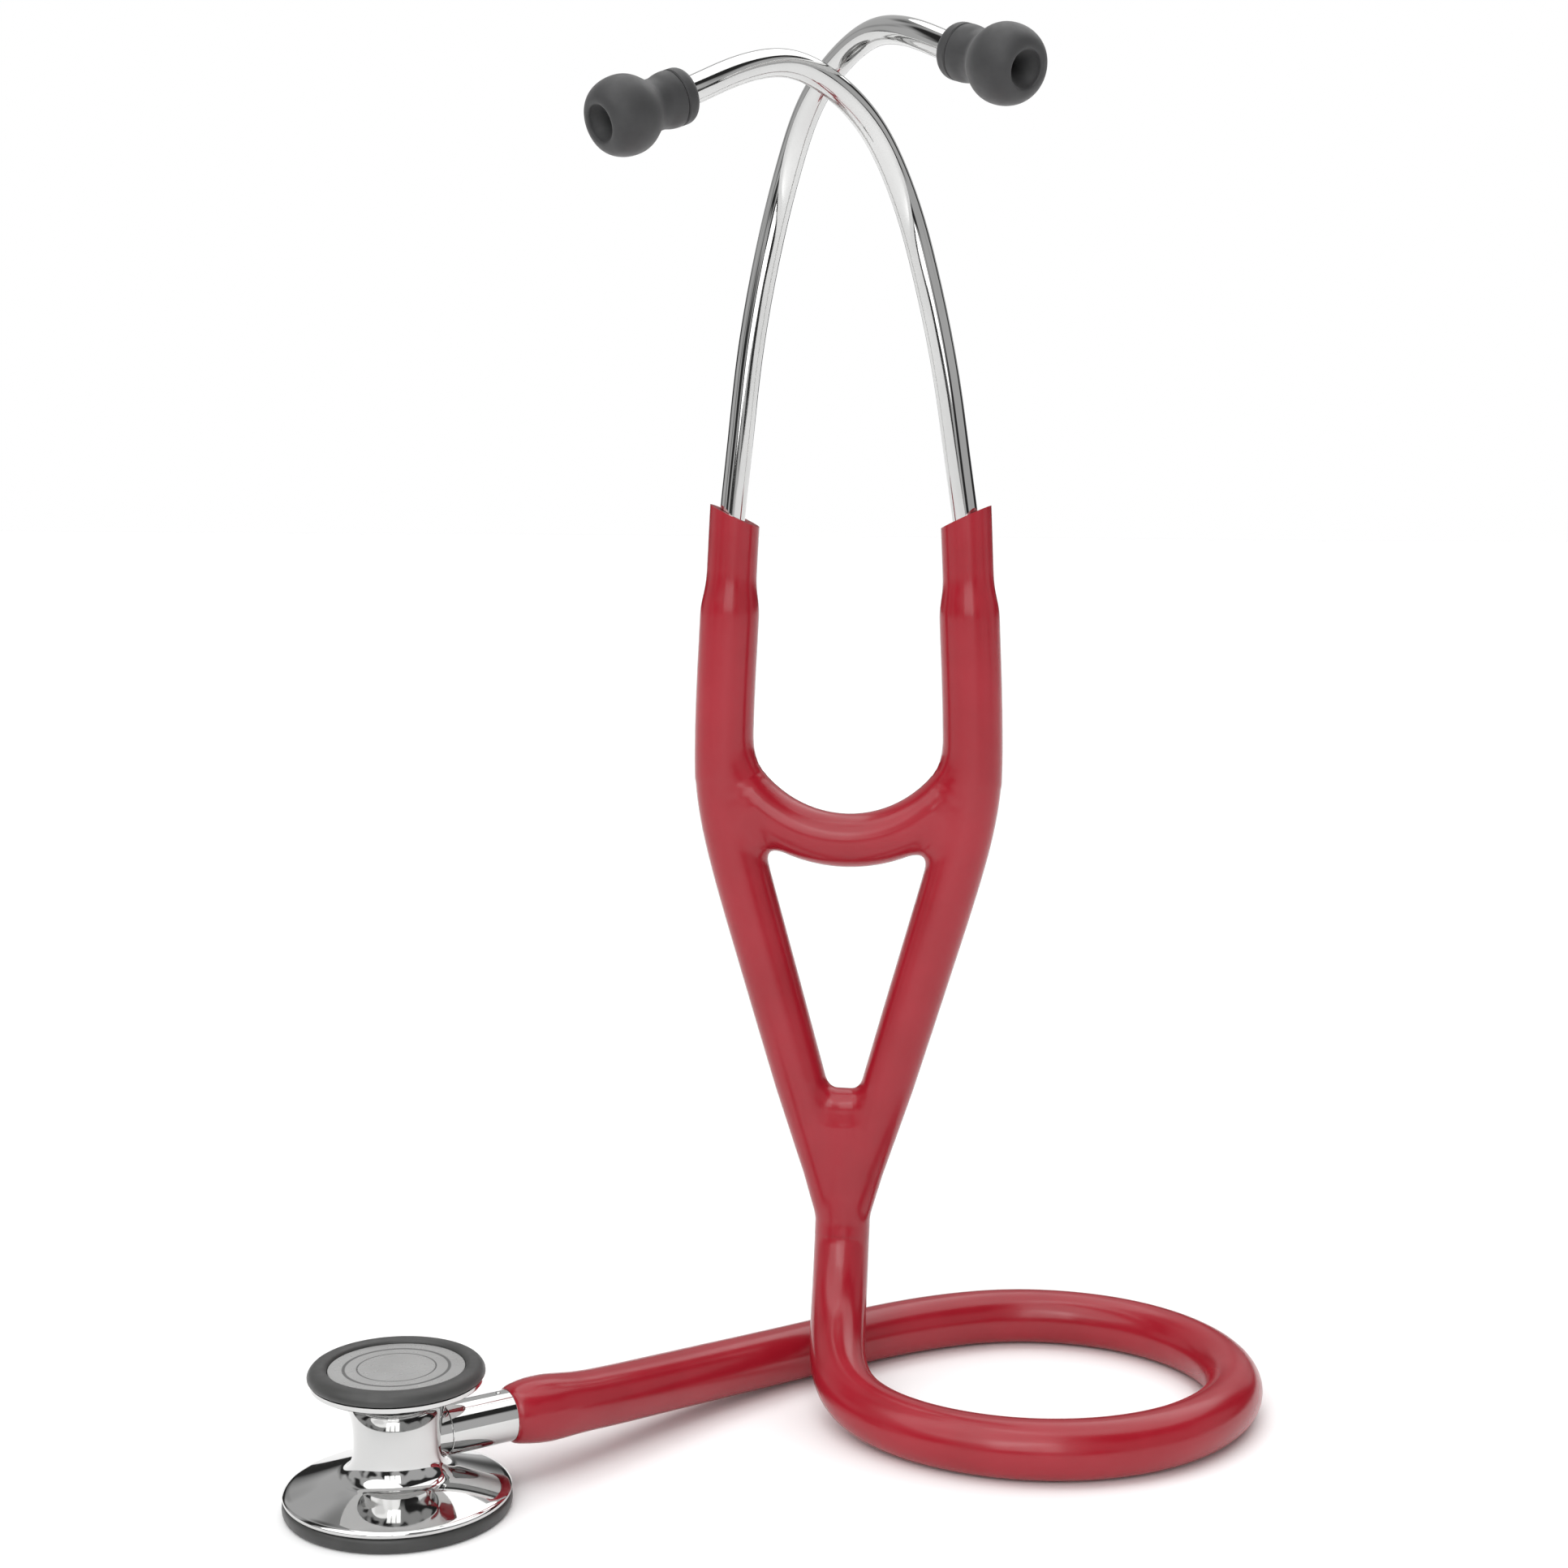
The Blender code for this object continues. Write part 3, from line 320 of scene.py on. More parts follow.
def smooth_route(points: Iterable[Sequence[float]], step: float) -> list[Vector]:
    """Evenly spaced points on a smooth curve through the given points.

    Args:
        points: Points that the curve passes through.
        step: Wanted spacing.

    Returns:
        Points along the curve, both ends included.
    """
    points = [Vector(point) for point in points]
    ends = [2 * points[0] - points[1]] + points + [2 * points[-1] - points[-2]]
    fine = []
    for index in range(1, len(ends) - 2):
        before, start, end, after = ends[index - 1:index + 3]
        knots = [0.0]
        for first, second in ((before, start), (start, end), (end, after)):
            knots.append(knots[-1] + math.sqrt((second - first).length))
        for part in range(24):
            t = knots[1] + (knots[2] - knots[1]) * part / 24
            low = knot_blend(before, start, knots[0], knots[1], t)
            middle = knot_blend(start, end, knots[1], knots[2], t)
            high = knot_blend(end, after, knots[2], knots[3], t)
            left = knot_blend(low, middle, knots[0], knots[2], t)
            right = knot_blend(middle, high, knots[1], knots[3], t)
            fine.append(knot_blend(left, right, knots[1], knots[2], t))
    fine.append(points[-1])
    return evenly(fine, step)


def evenly(fine: Sequence[Vector], step: float) -> list[Vector]:
    """Pick evenly spaced points from a fine polyline.

    Args:
        fine: Closely spaced points.
        step: Wanted spacing.

    Returns:
        The picked points, both ends included.
    """
    lengths = [0.0]
    for first, second in zip(fine, fine[1:]):
        lengths.append(lengths[-1] + (second - first).length)
    count = max(2, round(lengths[-1] / step))
    picked = []
    index = 0
    for place in range(count + 1):
        wanted = lengths[-1] * place / count
        while index < len(fine) - 2 and lengths[index + 1] < wanted:
            index += 1
        span = lengths[index + 1] - lengths[index]
        picked.append(fine[index].lerp(fine[index + 1], (wanted - lengths[index]) / span))
    return picked


def eased(points: list[Vector], passes: int, held: int = 2) -> list[Vector]:
    """Even out the bends of a route, with its ends held.

    Args:
        points: Evenly spaced points.
        passes: Number of averaging passes.
        held: Points that stay in place at each end.

    Returns:
        The smoother points.
    """
    for _ in range(passes):
        middle = [
            (before + 2 * point + after) / 4
            for before, point, after in zip(
                points[held - 1:], points[held:-held], points[held + 1:]
            )
        ]
        points = points[:held] + middle + points[-held:]
    return points


def path_frames(points: Sequence[Vector]) -> list[Matrix]:
    """Frames that follow a path without twisting, Z along the path.

    Args:
        points: Points of the path.

    Returns:
        One frame for each point.
    """
    frames = []
    side = None
    for index, point in enumerate(points):
        before = points[max(index - 1, 0)]
        after = points[min(index + 1, len(points) - 1)]
        tangent = (after - before).normalized()
        if side is None:
            side = tangent.orthogonal().normalized()
        side = (side - tangent * side.dot(tangent)).normalized()
        matrix = Matrix((side, tangent.cross(side), tangent)).transposed().to_4x4()
        matrix.translation = point
        frames.append(matrix)
    return frames


def lathe(outline: Outline, steps: int) -> bmesh.types.BMesh:
    """Spin an outline of (radius, height) points in millimetres about Z.

    Args:
        outline: The cross-section, closed round or touching the axis.
        steps: Number of steps of the full turn.

    Returns:
        The closed shape, in metres.
    """
    shape = bmesh.new()
    verts = [shape.verts.new((radius * MM, 0.0, height * MM)) for radius, height in outline]
    edges = [shape.edges.new(pair) for pair in zip(verts, verts[1:])]
    if outline[0][0] > 0.0 or outline[-1][0] > 0.0:
        edges.append(shape.edges.new((verts[-1], verts[0])))
    bmesh.ops.spin(
        shape, geom=verts + edges, cent=(0, 0, 0), axis=(0, 0, 1), dvec=(0, 0, 0),
        angle=math.tau, steps=steps, use_merge=True, use_duplicate=False,
    )
    return shape


def sweep(points: Sequence[Vector], radii: Sequence[float], sides: int) -> bmesh.types.BMesh:
    """Round bar along a path, extruded ring by ring.

    Args:
        points: Path in metres.
        radii: Radius at each point, in metres.
        sides: Sides of the cross-section.

    Returns:
        The closed shape.
    """
    shape = bmesh.new()
    frames = path_frames(points)
    placed = [
        matrix @ Matrix.Diagonal((radius, radius, 1.0, 1.0))
        for matrix, radius in zip(frames, radii)
    ]
    bmesh.ops.create_circle(shape, segments=sides, radius=1.0, matrix=placed[0])
    edges = shape.edges[:]
    bmesh.ops.contextual_create(shape, geom=edges)
    for before, after in zip(placed, placed[1:]):
        made = bmesh.ops.extrude_edge_only(shape, edges=edges)["geom"]
        verts = [item for item in made if isinstance(item, bmesh.types.BMVert)]
        edges = [item for item in made if isinstance(item, bmesh.types.BMEdge)]
        bmesh.ops.transform(shape, matrix=after @ before.inverted(), verts=verts)
    bmesh.ops.contextual_create(shape, geom=edges)
    return shape


def finished(
    name: str, shape: bmesh.types.BMesh, material: bpy.types.Material,
    matrix: Matrix | None = None, crease: float = 32.0,
) -> bpy.types.Object:
    """Turn a bmesh into a smooth object at the origin.

    Args:
        name: Name of the piece.
        shape: The mesh, which is freed.
        material: Its material.
        matrix: Placing that is applied to the mesh.
        crease: Angle in degrees above which an edge stays sharp.

    Returns:
        The new object.
    """
    if matrix is not None:
        bmesh.ops.transform(shape, matrix=matrix, verts=shape.verts)
    bmesh.ops.remove_doubles(shape, verts=shape.verts, dist=1e-7)
    bmesh.ops.recalc_face_normals(shape, faces=shape.faces)
    mesh = bpy.data.meshes.new(name)
    shape.to_mesh(mesh)
    shape.free()
    mesh.shade_smooth()
    mesh.set_sharp_from_angle(angle=math.radians(crease))
    mesh.materials.append(material)
    piece = bpy.data.objects.new(name, mesh)
    bpy.context.scene.collection.objects.link(piece)
    return piece


def settle(
    piece: bpy.types.Object, body: Body | None, slot: str, *nodes: str
) -> bpy.types.Object:
    """Ride a piece on its body and hide what it stands for.

    Args:
        piece: The piece.
        body: The body it moves with, or none.
        slot: Material slot of the record; not used.
        *nodes: CAD nodes that the piece stands for.

    Returns:
        The piece.
    """
    if body is not None:
        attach(piece, body.value)
    if nodes:
        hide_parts(*nodes)
    log.info("%s: %d faces", piece.name, len(piece.data.polygons) if piece.type == "MESH" else 0)
    return piece


# -------------------------------------------------------------- the CAD frame
def joint(name: str) -> dict:
    """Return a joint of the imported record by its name."""
    return next(item for item in frame["joints"] if item["name"] == name)


class Places:
    """Where the CAD model puts the chestpiece and the headset."""

    def __init__(self) -> None:
        """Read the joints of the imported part."""
        turn = joint("chestpiece_turn")
        self.chest = Vector((turn["pos_m"][0], turn["pos_m"][1], 0.0))
        self.stem_height = turn["pos_m"][2] / MM
        self.along = Vector(turn["axis"]).normalized()
        yaw = math.atan2(self.along.y, self.along.x)
        self.chest_frame = Matrix.Translation(self.chest) @ Matrix.Rotation(yaw, 4, "Z")
        left = Vector(joint("left_arm_spread")["pos_m"])
        right = Vector(joint("right_arm_spread")["pos_m"])
        self.headset = Vector(((left.x + right.x) / 2, (left.y + right.y) / 2, 0.0))
        self.hinge_height = left.z / MM
        self.hinge_offset = (right - left).length / 2 / MM
        self.headset_yaw = math.atan2(right.y - left.y, right.x - left.x)
        self.headset_frame = (
            Matrix.Translation(self.headset) @ Matrix.Rotation(self.headset_yaw, 4, "Z")
        )

    def on_stem(self) -> Matrix:
        """Frame whose Z runs along the stem axis."""
        lift = Matrix.Translation((0.0, 0.0, self.stem_height * MM))
        return self.chest_frame @ lift @ Matrix.Rotation(math.pi / 2, 4, "Y")


PLACES = Places()

VINYL = Finish(
    "burgundy_vinyl", "burgundy_rubber", (0.290, 0.007, 0.016), (0.325, 0.010, 0.021),
    roughness=(0.21, 0.27), mottle=60.0, grain=1800.0, relief=0.00003,
    relief_strength=0.10, coat=0.05, specular=0.45,
)
STEEL = Finish(
    "mirror_steel", "polished_steel", (0.58, 0.58, 0.575), (0.63, 0.63, 0.625),
    metallic=1.0, roughness=(0.035, 0.075), mottle=45.0, grain=900.0, relief=0.00001,
    relief_strength=0.03,
)
SPRING = Finish(
    "blued_spring_steel", "spring_steel", (0.30, 0.31, 0.33), (0.38, 0.39, 0.41),
    metallic=1.0, roughness=(0.25, 0.4), mottle=200.0,
)
TIP_RUBBER = Finish(
    "soft_grey_silicone", "grey_rubber", (0.026, 0.026, 0.027), (0.034, 0.034, 0.035),
    roughness=(0.48, 0.60), mottle=180.0, grain=5200.0, relief=0.00003,
    relief_strength=0.12, sheen=0.12, specular=0.42,
)
RIM = Finish(
    "satin_grey_rim", "grey_rim", (0.038, 0.038, 0.037), (0.047, 0.047, 0.046),
    roughness=(0.38, 0.50), mottle=160.0, grain=4200.0, relief=0.00003,
    relief_strength=0.10, sheen=0.05, specular=0.45,
)
CHILD_FILM = Finish(
    "printed_disc_film", "diaphragm_film", (0.37, 0.37, 0.365), (0.43, 0.43, 0.425),
    metallic=0.35, roughness=(0.24, 0.30), mottle=70.0, grain=900.0, relief=0.00001,
    relief_strength=0.03, rings=((0.0102, 0.00060), (0.0076, 0.00032)),
    ring_centre=tuple(PLACES.chest),
)
ADULT_FILM = replace(CHILD_FILM, name="plain_disc_film", rings=((0.0160, 0.0003),))
SEAL = Finish(
    "black_seal_rubber", "seal_rubber", (0.018, 0.018, 0.018), (0.024, 0.024, 0.024),
    roughness=(0.5, 0.6), mottle=300.0,
)


# ------------------------------------------------------------------ chestpiece
@dataclass
class Chestpiece:
    """Polished hourglass body, its two rims, its discs and the stem.

    Radii and heights are in millimetres about the chestpiece axis.
    """

    steps: int = 144
    adult_rim: float = 22.25
    adult_rim_height: float = 2.8
    adult_lip: float = 18.3
    child_rim: float = 17.2
    child_top: float = 28.9
    child_lip: float = 13.4
    child_flange: float = 16.7
    neck: float = 8.5
    stem_radius: float = 5.1
    boss_end: float = 9.62
    stem_start: float = 9.68
    stem_end: float = 24.6
    disc_thickness: float = 0.4
    adult_disc_low: float = 0.5
    child_disc_top: float = 28.1

    def build(self, steel: bpy.types.Material, rim: bpy.types.Material) -> None:
        """Make the body, the rims and the stem.

        Args:
            steel: Material of the body and the stem.
            rim: Material of the rims.
        """
        place = PLACES.chest_frame
        body = self.body_shape()
        piece = finished("chestpiece_shell", body, steel, place, 40.0)
        settle(piece, Body.CHEST, STEEL.slot, "chestpiece_body")
        boss = lathe(
            [(0.0, 0.0), (self.stem_radius, 0.0), (self.stem_radius, self.boss_end - 0.12),
             (self.stem_radius - 0.12, self.boss_end), (0.0, self.boss_end)], 72,
        )
        settle(finished("stem_boss", boss, steel, PLACES.on_stem(), 40.0), Body.CHEST, STEEL.slot)
        adult = finished("adult_rim_ring", lathe(self.adult_outline(), self.steps), rim, place)
        settle(adult, Body.CHEST, RIM.slot, "adult_rim")
        child = finished("pediatric_rim_ring", lathe(self.child_outline(), self.steps), rim, place)
        settle(child, Body.CHEST, RIM.slot, "pediatric_rim")
        self.stem(steel)

    def body_shape(self) -> bmesh.types.BMesh:
        """Hourglass with rounded flange edges.

        Returns:
            The closed shape.
        """
        low = self.adult_rim_height + 0.3
        edge = self.adult_rim - 0.35
        plate = bezier((21.3, low + 1.25), (18.0, 5.35), (14.5, 6.45), (11.3, 7.15), 14)
        foot = bezier((11.3, 7.15), (9.7, 7.75), (self.neck + 0.1, 9.3), (self.neck, 12.6), 18)
        upper = bezier((self.neck, 14.0), (self.neck, 18.6), (9.6, 22.2), (12.6, 23.6), 22)
        upper.append((self.child_flange - 0.9, 24.95))
        lower = plate + foot[1:]
        roll = [
            (edge + 0.28 * math.sin(turn), low + 0.48 - 0.48 * math.cos(turn))
            for turn in (math.radians(angle) for angle in range(0, 150, 15))
        ]
        lip = [
            (self.child_flange - 0.45 + 0.45 * math.sin(turn), 25.5 - 0.45 * math.cos(turn))
            for turn in (math.radians(angle) for angle in range(0, 105, 15))
        ]
        outline = [
            (0.0, 4.6), (18.6, 2.3), (19.0, 1.7), (20.2, 1.7), (20.2, low), *roll,
            *lower, *upper, *lip, (self.child_flange, 26.1), (15.0, 26.1), (15.0, 27.3),
            (13.4, 27.2), (0.0, 27.0),
        ]
        return lathe(outline, self.steps)

    def adult_outline(self) -> list[tuple[float, float]]:
        """Cross-section of the rim round the larger disc.

        Returns:
            Points of (radius, height).
        """
        outer = bezier(
            (self.adult_rim - 1.3, 0.0), (self.adult_rim - 0.2, 0.0),
            (self.adult_rim, 0.7), (self.adult_rim, 1.6), 8,
        )
        top = bezier(
            (self.adult_rim, 1.6), (self.adult_rim, 2.3), (self.adult_rim - 0.2, 2.95),
            (self.adult_rim - 0.9, 2.95), 6,
        )
        return [
            (self.adult_lip, 0.9), (self.adult_lip, 0.45), (self.adult_lip + 0.15, 0.12),
            (self.adult_lip + 0.5, 0.0), *outer, *top[1:], (20.4, 2.95), (20.4, 1.4),
            (self.adult_lip, 1.4),
        ]

    def child_outline(self) -> list[tuple[float, float]]:
        """Cross-section of the rounded rim round the smaller disc.

        Returns:
            Points of (radius, height).
        """
        low = 26.4
        outer = bezier(
            (self.child_rim - 0.55, low), (self.child_rim + 0.05, low),
            (self.child_rim + 0.1, low + 0.75), (self.child_rim - 0.25, low + 1.35), 8,
        )
        crown = bezier(
            (self.child_rim - 0.25, low + 1.35), (self.child_rim - 0.75, low + 2.2),
            (self.child_rim - 1.5, self.child_top), (self.child_rim - 2.4, self.child_top), 8,
        )
        inner = bezier(
            (self.child_rim - 2.4, self.child_top), (self.child_lip + 0.7, self.child_top),
            (self.child_lip + 0.1, self.child_top - 0.3), (self.child_lip, self.child_top - 0.75), 6,
        )
        return [
            (15.3, low), *outer, *crown[1:], *inner[1:], (self.child_lip, 27.6), (15.3, 27.6),
        ]

    def discs(self, adult: bpy.types.Material, child: bpy.types.Material) -> None:
        """Make the two discs, each slightly crowned with a soft edge.

        Args:
            adult: Material of the larger disc.
            child: Material of the smaller disc.
        """
        sizes = (
            ("adult_disc_skin", self.adult_lip - 0.15, self.adult_disc_low, adult,
             Body.ADULT_DISC, "adult_diaphragm"),
            ("pediatric_disc_skin", self.child_lip - 0.15,
             self.child_disc_top - self.disc_thickness, child,
             Body.CHILD_DISC, "pediatric_diaphragm"),
        )
        for name, radius, low, material, body, node in sizes:
            high = low + self.disc_thickness
            outline = [
                (0.0, low), (radius - 0.1, low), (radius, low + 0.1), (radius, high - 0.1),
                (radius - 0.1, high), (0.0, high),
            ]
            piece = finished(name, lathe(outline, self.steps), material, PLACES.chest_frame)
            settle(piece, body, CHILD_FILM.slot, node)

    def stem(self, steel: bpy.types.Material) -> None:
        """Make the hose stem with its small index mark.

        Args:
            steel: Material of the stem.
        """
        outline = [
            (0.0, self.stem_start), (self.stem_radius - 0.12, self.stem_start),
            (self.stem_radius, self.stem_start + 0.12), (self.stem_radius, self.stem_end),
            (0.0, self.stem_end),
        ]
        stem = finished("stem_tube", lathe(outline, 96), steel, PLACES.on_stem(), 40.0)
        settle(stem, Body.BASE, STEEL.slot, "stem")
        mark = bmesh.new()
        bmesh.ops.create_uvsphere(mark, u_segments=20, v_segments=12, radius=0.55 * MM)
        flatten = Matrix.Diagonal((1.0, 1.3, 0.45, 1.0))
        lift = Matrix.Translation((21.6 * MM, 0.0, (self.stem_height + self.stem_radius) * MM))
        dot = finished("stem_index_mark", mark, steel, PLACES.chest_frame @ lift @ flatten)
        settle(dot, Body.BASE, STEEL.slot)

    @property
    def stem_height(self) -> float:
        """Height of the stem axis."""
        return PLACES.stem_height


# --------------------------------------------------------------------- headset
@dataclass
class Headset:
    """One-piece skin of yoke and arms, in millimetres in the headset plane."""

    leg: float = 6.2
    shoulder: float = 6.5
    bridge: float = 5.9
    bridge_arc: float = 30.0
    bridge_bottom: float = 122.3
    bridge_half_angle: float = 66.0
    leg_slope: float = 0.2927
    leg_meeting: float = 34.3
    hose_top: float = 36.0
    hose_lean: float = 12.0
    skin_bottom: float = 33.2
    arm_slope: float = 0.05
    sleeve: float = 5.5
    sleeve_start: float = 171.0
    sleeve_full: float = 181.0
    sleeve_seam: float = 166.0
    mouth: float = 193.2
    mouth_slant: float = 22.0
    blend_low: float = 137.0
    blend_high: float = 162.0
    fillets: tuple[tuple[float, float], ...] = (    # height, size
        (44.0, 0.5), (58.0, 3.0), (66.0, 5.0), (76.0, 4.0), (112.0, 3.4), (121.0, 5.4),
        (131.0, 2.2),
    )
    leg_taper: tuple[tuple[float, float], ...] = (  # height, radius
        (39.0, 4.95), (48.5, 4.95), (58.0, 5.35), (68.0, 5.75), (82.0, 5.95), (105.0, 6.2),
    )
    column: tuple[tuple[float, float, float], ...] = (      # y, height, radius
        (0.5, 43.0, 5.9), (0.0, 50.0, 5.5), (0.0, 58.0, 4.8), (0.0, 62.0, 4.1),
    )
    column_radius: float = 6.12
    column_low: float = 26.0
    web: tuple[tuple[float, float], ...] = ((50.0, 4.5), (66.5, 3.6))   # height, radius
    shoulder_lean: float = 12.0
    shoulder_settle: float = 5.0
    shoulder_curve: float = 0.002
    bridge_thinning: float = 2.3
    bridge_thin_from: float = 0.62
    voxel: float = 0.65
    relaxing: int = 4
    fitting: int = 4
    nudge: float = 0.05

    def leg_centre(self, height: float) -> float:
        """Distance of a leg's centre line from the middle at a height."""
        return self.leg_slope * (height - self.leg_meeting)

    def leg_line(self) -> list[tuple[float, float, float]]:
        """Centre line of the right leg and arm as (x, height, radius).

        Returns:
            Stations from the column up to above the sleeve seam.
        """
        offset = PLACES.hinge_offset
        line = [(self.leg_centre(height), height, radius) for height, radius in self.leg_taper]
        curve = bezier(
            (self.leg_centre(105.0), 105.0), (self.leg_centre(122.0), 122.0),
            (offset, 130.0), (offset, 141.0), 12,
        )
        for index, (x, z) in enumerate(curve[1:], 1):
            line.append((x, z, self.leg + (self.shoulder - self.leg) * index / 12))
        lean_low = PLACES.hinge_height - self.shoulder_lean
        line = [station for station in line if station[1] < lean_low]
        for step in range(13):
            rise = 2.0 * self.shoulder_lean * step / 12
            inward = self.arm_slope * rise * rise / (4.0 * self.shoulder_lean)
            line.append((self.shoulder_x(lean_low + rise) - inward, lean_low + rise, self.shoulder))
        line.append((offset - self.arm_slope * (172.0 - PLACES.hinge_height), 172.0, self.shoulder))
        return line

    def shoulder_x(self, height: float) -> float:
        """Distance of the shoulder from the middle before the arm leans in."""
        below = max(0.0, PLACES.hinge_height - self.shoulder_settle - height)
        return PLACES.hinge_offset - self.shoulder_curve * below * below

    def bars(self) -> list[list[tuple[float, float, float, float]]]:
        """Round bars of the moulding, each a list of (x, y, z, radius).

        Returns:
            Two legs, the bridge and the column over the hose.
        """
        legs = [
            [(side * x, 0.0, z, radius) for x, z, radius in self.leg_line()]
            for side in (-1, 1)
        ]
        half = math.radians(self.bridge_half_angle)
        arc = []
        centre = self.bridge_bottom + self.bridge_arc
        for step in range(33):
            angle = half * (2 * step / 32 - 1)
            share = (abs(angle) / half - self.bridge_thin_from) / (1.0 - self.bridge_thin_from)
            thin = self.bridge_thinning * max(0.0, share) ** 1.5
            reach = self.bridge_arc - thin
            arc.append((reach * math.sin(angle), 0.0, centre - reach * math.cos(angle),
                        self.bridge - thin))
        lean = math.tan(math.radians(self.hose_lean))
        column = [
            (0.0, lean * (z - self.hose_top), z, self.column_radius)
            for z in (self.column_low, self.hose_top)
        ]
        column += [(0.0, *station) for station in self.column]
        return [*legs, arc, column]

    @staticmethod
    def bar_distance(points: np.ndarray, bar: Sequence[Sequence[float]]) -> np.ndarray:
        """Distance of points to the surface of a bar, below zero inside.

        Args:
            points: Points as rows, in millimetres.
            bar: Stations of (x, y, z, radius).

        Returns:
            One distance for each point.
        """
        stations = np.array(bar)
        best = np.full(len(points), 1e9)
        for first, second in zip(stations, stations[1:]):
            run = second[:3] - first[:3]
            t = np.clip((points - first[:3]) @ run / (run @ run), 0.0, 1.0)
            centre = first[:3] + t[:, None] * run
            reach = np.linalg.norm(points - centre, axis=1)
            best = np.minimum(best, reach - (first[3] + t * (second[3] - first[3])))
        return best

    def skin_distance(self, points: np.ndarray) -> np.ndarray:
        """Distance to the moulding, with its inner corners filled round.

        Args:
            points: Points as rows, in millimetres.

        Returns:
            One distance for each point, below zero inside.
        """
        total = None
        for bar in self.bars():
            distance = self.bar_distance(points, bar)
            if total is None:
                total = distance
                continue
            fillet = np.interp(points[:, 2], *zip(*self.fillets))
            overlap = np.maximum(fillet - np.abs(total - distance), 0.0)
            total = np.minimum(total, distance) - overlap * overlap / (4.0 * fillet)
        return total

    def skin(self, material: bpy.types.Material) -> None:
        """Make the skin from the bars, in two halves.

        Args:
            material: The moulding's material.
        """
        shape = bmesh.new()
        web = [(0.0, 0.0, height, radius) for height, radius in self.web]
        for bar in [*self.bars(), web]:
            points = [Vector(station[:3]) * MM for station in bar]
            part = sweep(points, [station[3] * MM for station in bar], 32)
            bmesh.ops.recalc_face_normals(part, faces=part.faces)
            mesh = bpy.data.meshes.new("bar")
            part.to_mesh(mesh)
            part.free()
            shape.from_mesh(mesh)
            bpy.data.meshes.remove(mesh)
        whole = finished("headset_whole", shape, material)
        remesh = whole.modifiers.new("remesh", "REMESH")
        remesh.mode = "VOXEL"
        remesh.voxel_size = self.voxel * MM
        graph = bpy.context.evaluated_depsgraph_get()
        mesh = bpy.data.meshes.new_from_object(whole.evaluated_get(graph))
        bpy.data.objects.remove(whole)
        self.fit_to_skin(mesh)
        for side in Side:
            self.half(mesh, side, material)
        bpy.data.meshes.remove(mesh)

    def fit_to_skin(self, mesh: bpy.types.Mesh) -> None:
        """Relax a mesh and draw it onto the rounded moulding.

        Args:
            mesh: The remeshed bars, changed in place.
        """
        shape = bmesh.new()
        shape.from_mesh(mesh)
        for _ in range(self.relaxing):
            bmesh.ops.smooth_vert(
                shape, verts=shape.verts, factor=0.5, use_axis_x=True, use_axis_y=True,
                use_axis_z=True,
            )
        shape.to_mesh(mesh)
        shape.free()
        count = len(mesh.vertices)
        flat = np.empty(count * 3)
        mesh.vertices.foreach_get("co", flat)
        points = flat.reshape(-1, 3) / MM
        for _ in range(self.fitting):
            here = self.skin_distance(points)
            slope = np.empty_like(points)
            for axis in range(3):
                moved = points.copy()
                moved[:, axis] += self.nudge
                slope[:, axis] = (self.skin_distance(moved) - here) / self.nudge
            steep = np.maximum((slope * slope).sum(axis=1), 0.25)
            points -= slope * (here / steep)[:, None]
        mesh.vertices.foreach_set("co", (points * MM).ravel())
        mesh.update()

    def half(self, mesh: bpy.types.Mesh, side: Side, material: bpy.types.Material) -> None:
        """Cut one half of the skin free and trim its ends.

        Args:
            mesh: The whole skin in the headset plane.
            side: The half to keep.
            material: The moulding's material.
        """
        shape = bmesh.new()
        shape.from_mesh(mesh)
        lean = math.radians(self.hose_lean)
        cuts = (
            (Vector((0.0, 0.0, self.skin_bottom * MM)),
             Vector((0.0, -math.sin(lean), -math.cos(lean)))),
            (Vector((0.0, 0.0, (self.sleeve_seam + 0.6) * MM)), Vector((0.0, 0.0, 1.0))),
            (Vector((0.0, 0.0, 0.0)), Vector((-side.value, 0.0, 0.0))),
        )
        for point, normal in cuts:
            bmesh.ops.bisect_plane(
                shape, geom=shape.verts[:] + shape.edges[:] + shape.faces[:], dist=1e-7,
                plane_co=point, plane_no=normal, clear_outer=True,
            )
            rim = [
                edge for edge in shape.edges
                if edge.is_boundary
                and all(abs((vert.co - point).dot(normal)) < 1e-6 for vert in edge.verts)
            ]
            bmesh.ops.holes_fill(shape, edges=rim, sides=0)
        piece = finished(
            side.word + "_headset_skin", shape, material, PLACES.headset_frame, 60.0,
        )
        nodes = [side.word + "_arm"] + (["yoke"] if side is Side.LEFT else [])
        settle(piece, None, VINYL.slot, *nodes)
        foot = PLACES.headset_frame @ Vector(
            (side.value * PLACES.hinge_offset * MM, 0.0, self.blend_low * MM)
        )
        top = foot.copy()
        top.z = self.blend_high * MM
        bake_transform(piece)

    def arm_axis(self, side: Side) -> Matrix:
        """Frame on an arm's axis at the sleeve seam, Z along the arm."""
        x = PLACES.hinge_offset - self.arm_slope * (self.sleeve_seam - PLACES.hinge_height)
        low = Vector((side.value * x, 0.0, self.sleeve_seam)) * MM
        lean = Matrix.Rotation(-side.value * math.atan(self.arm_slope), 4, "Y")
        return PLACES.headset_frame @ Matrix.Translation(low) @ lean

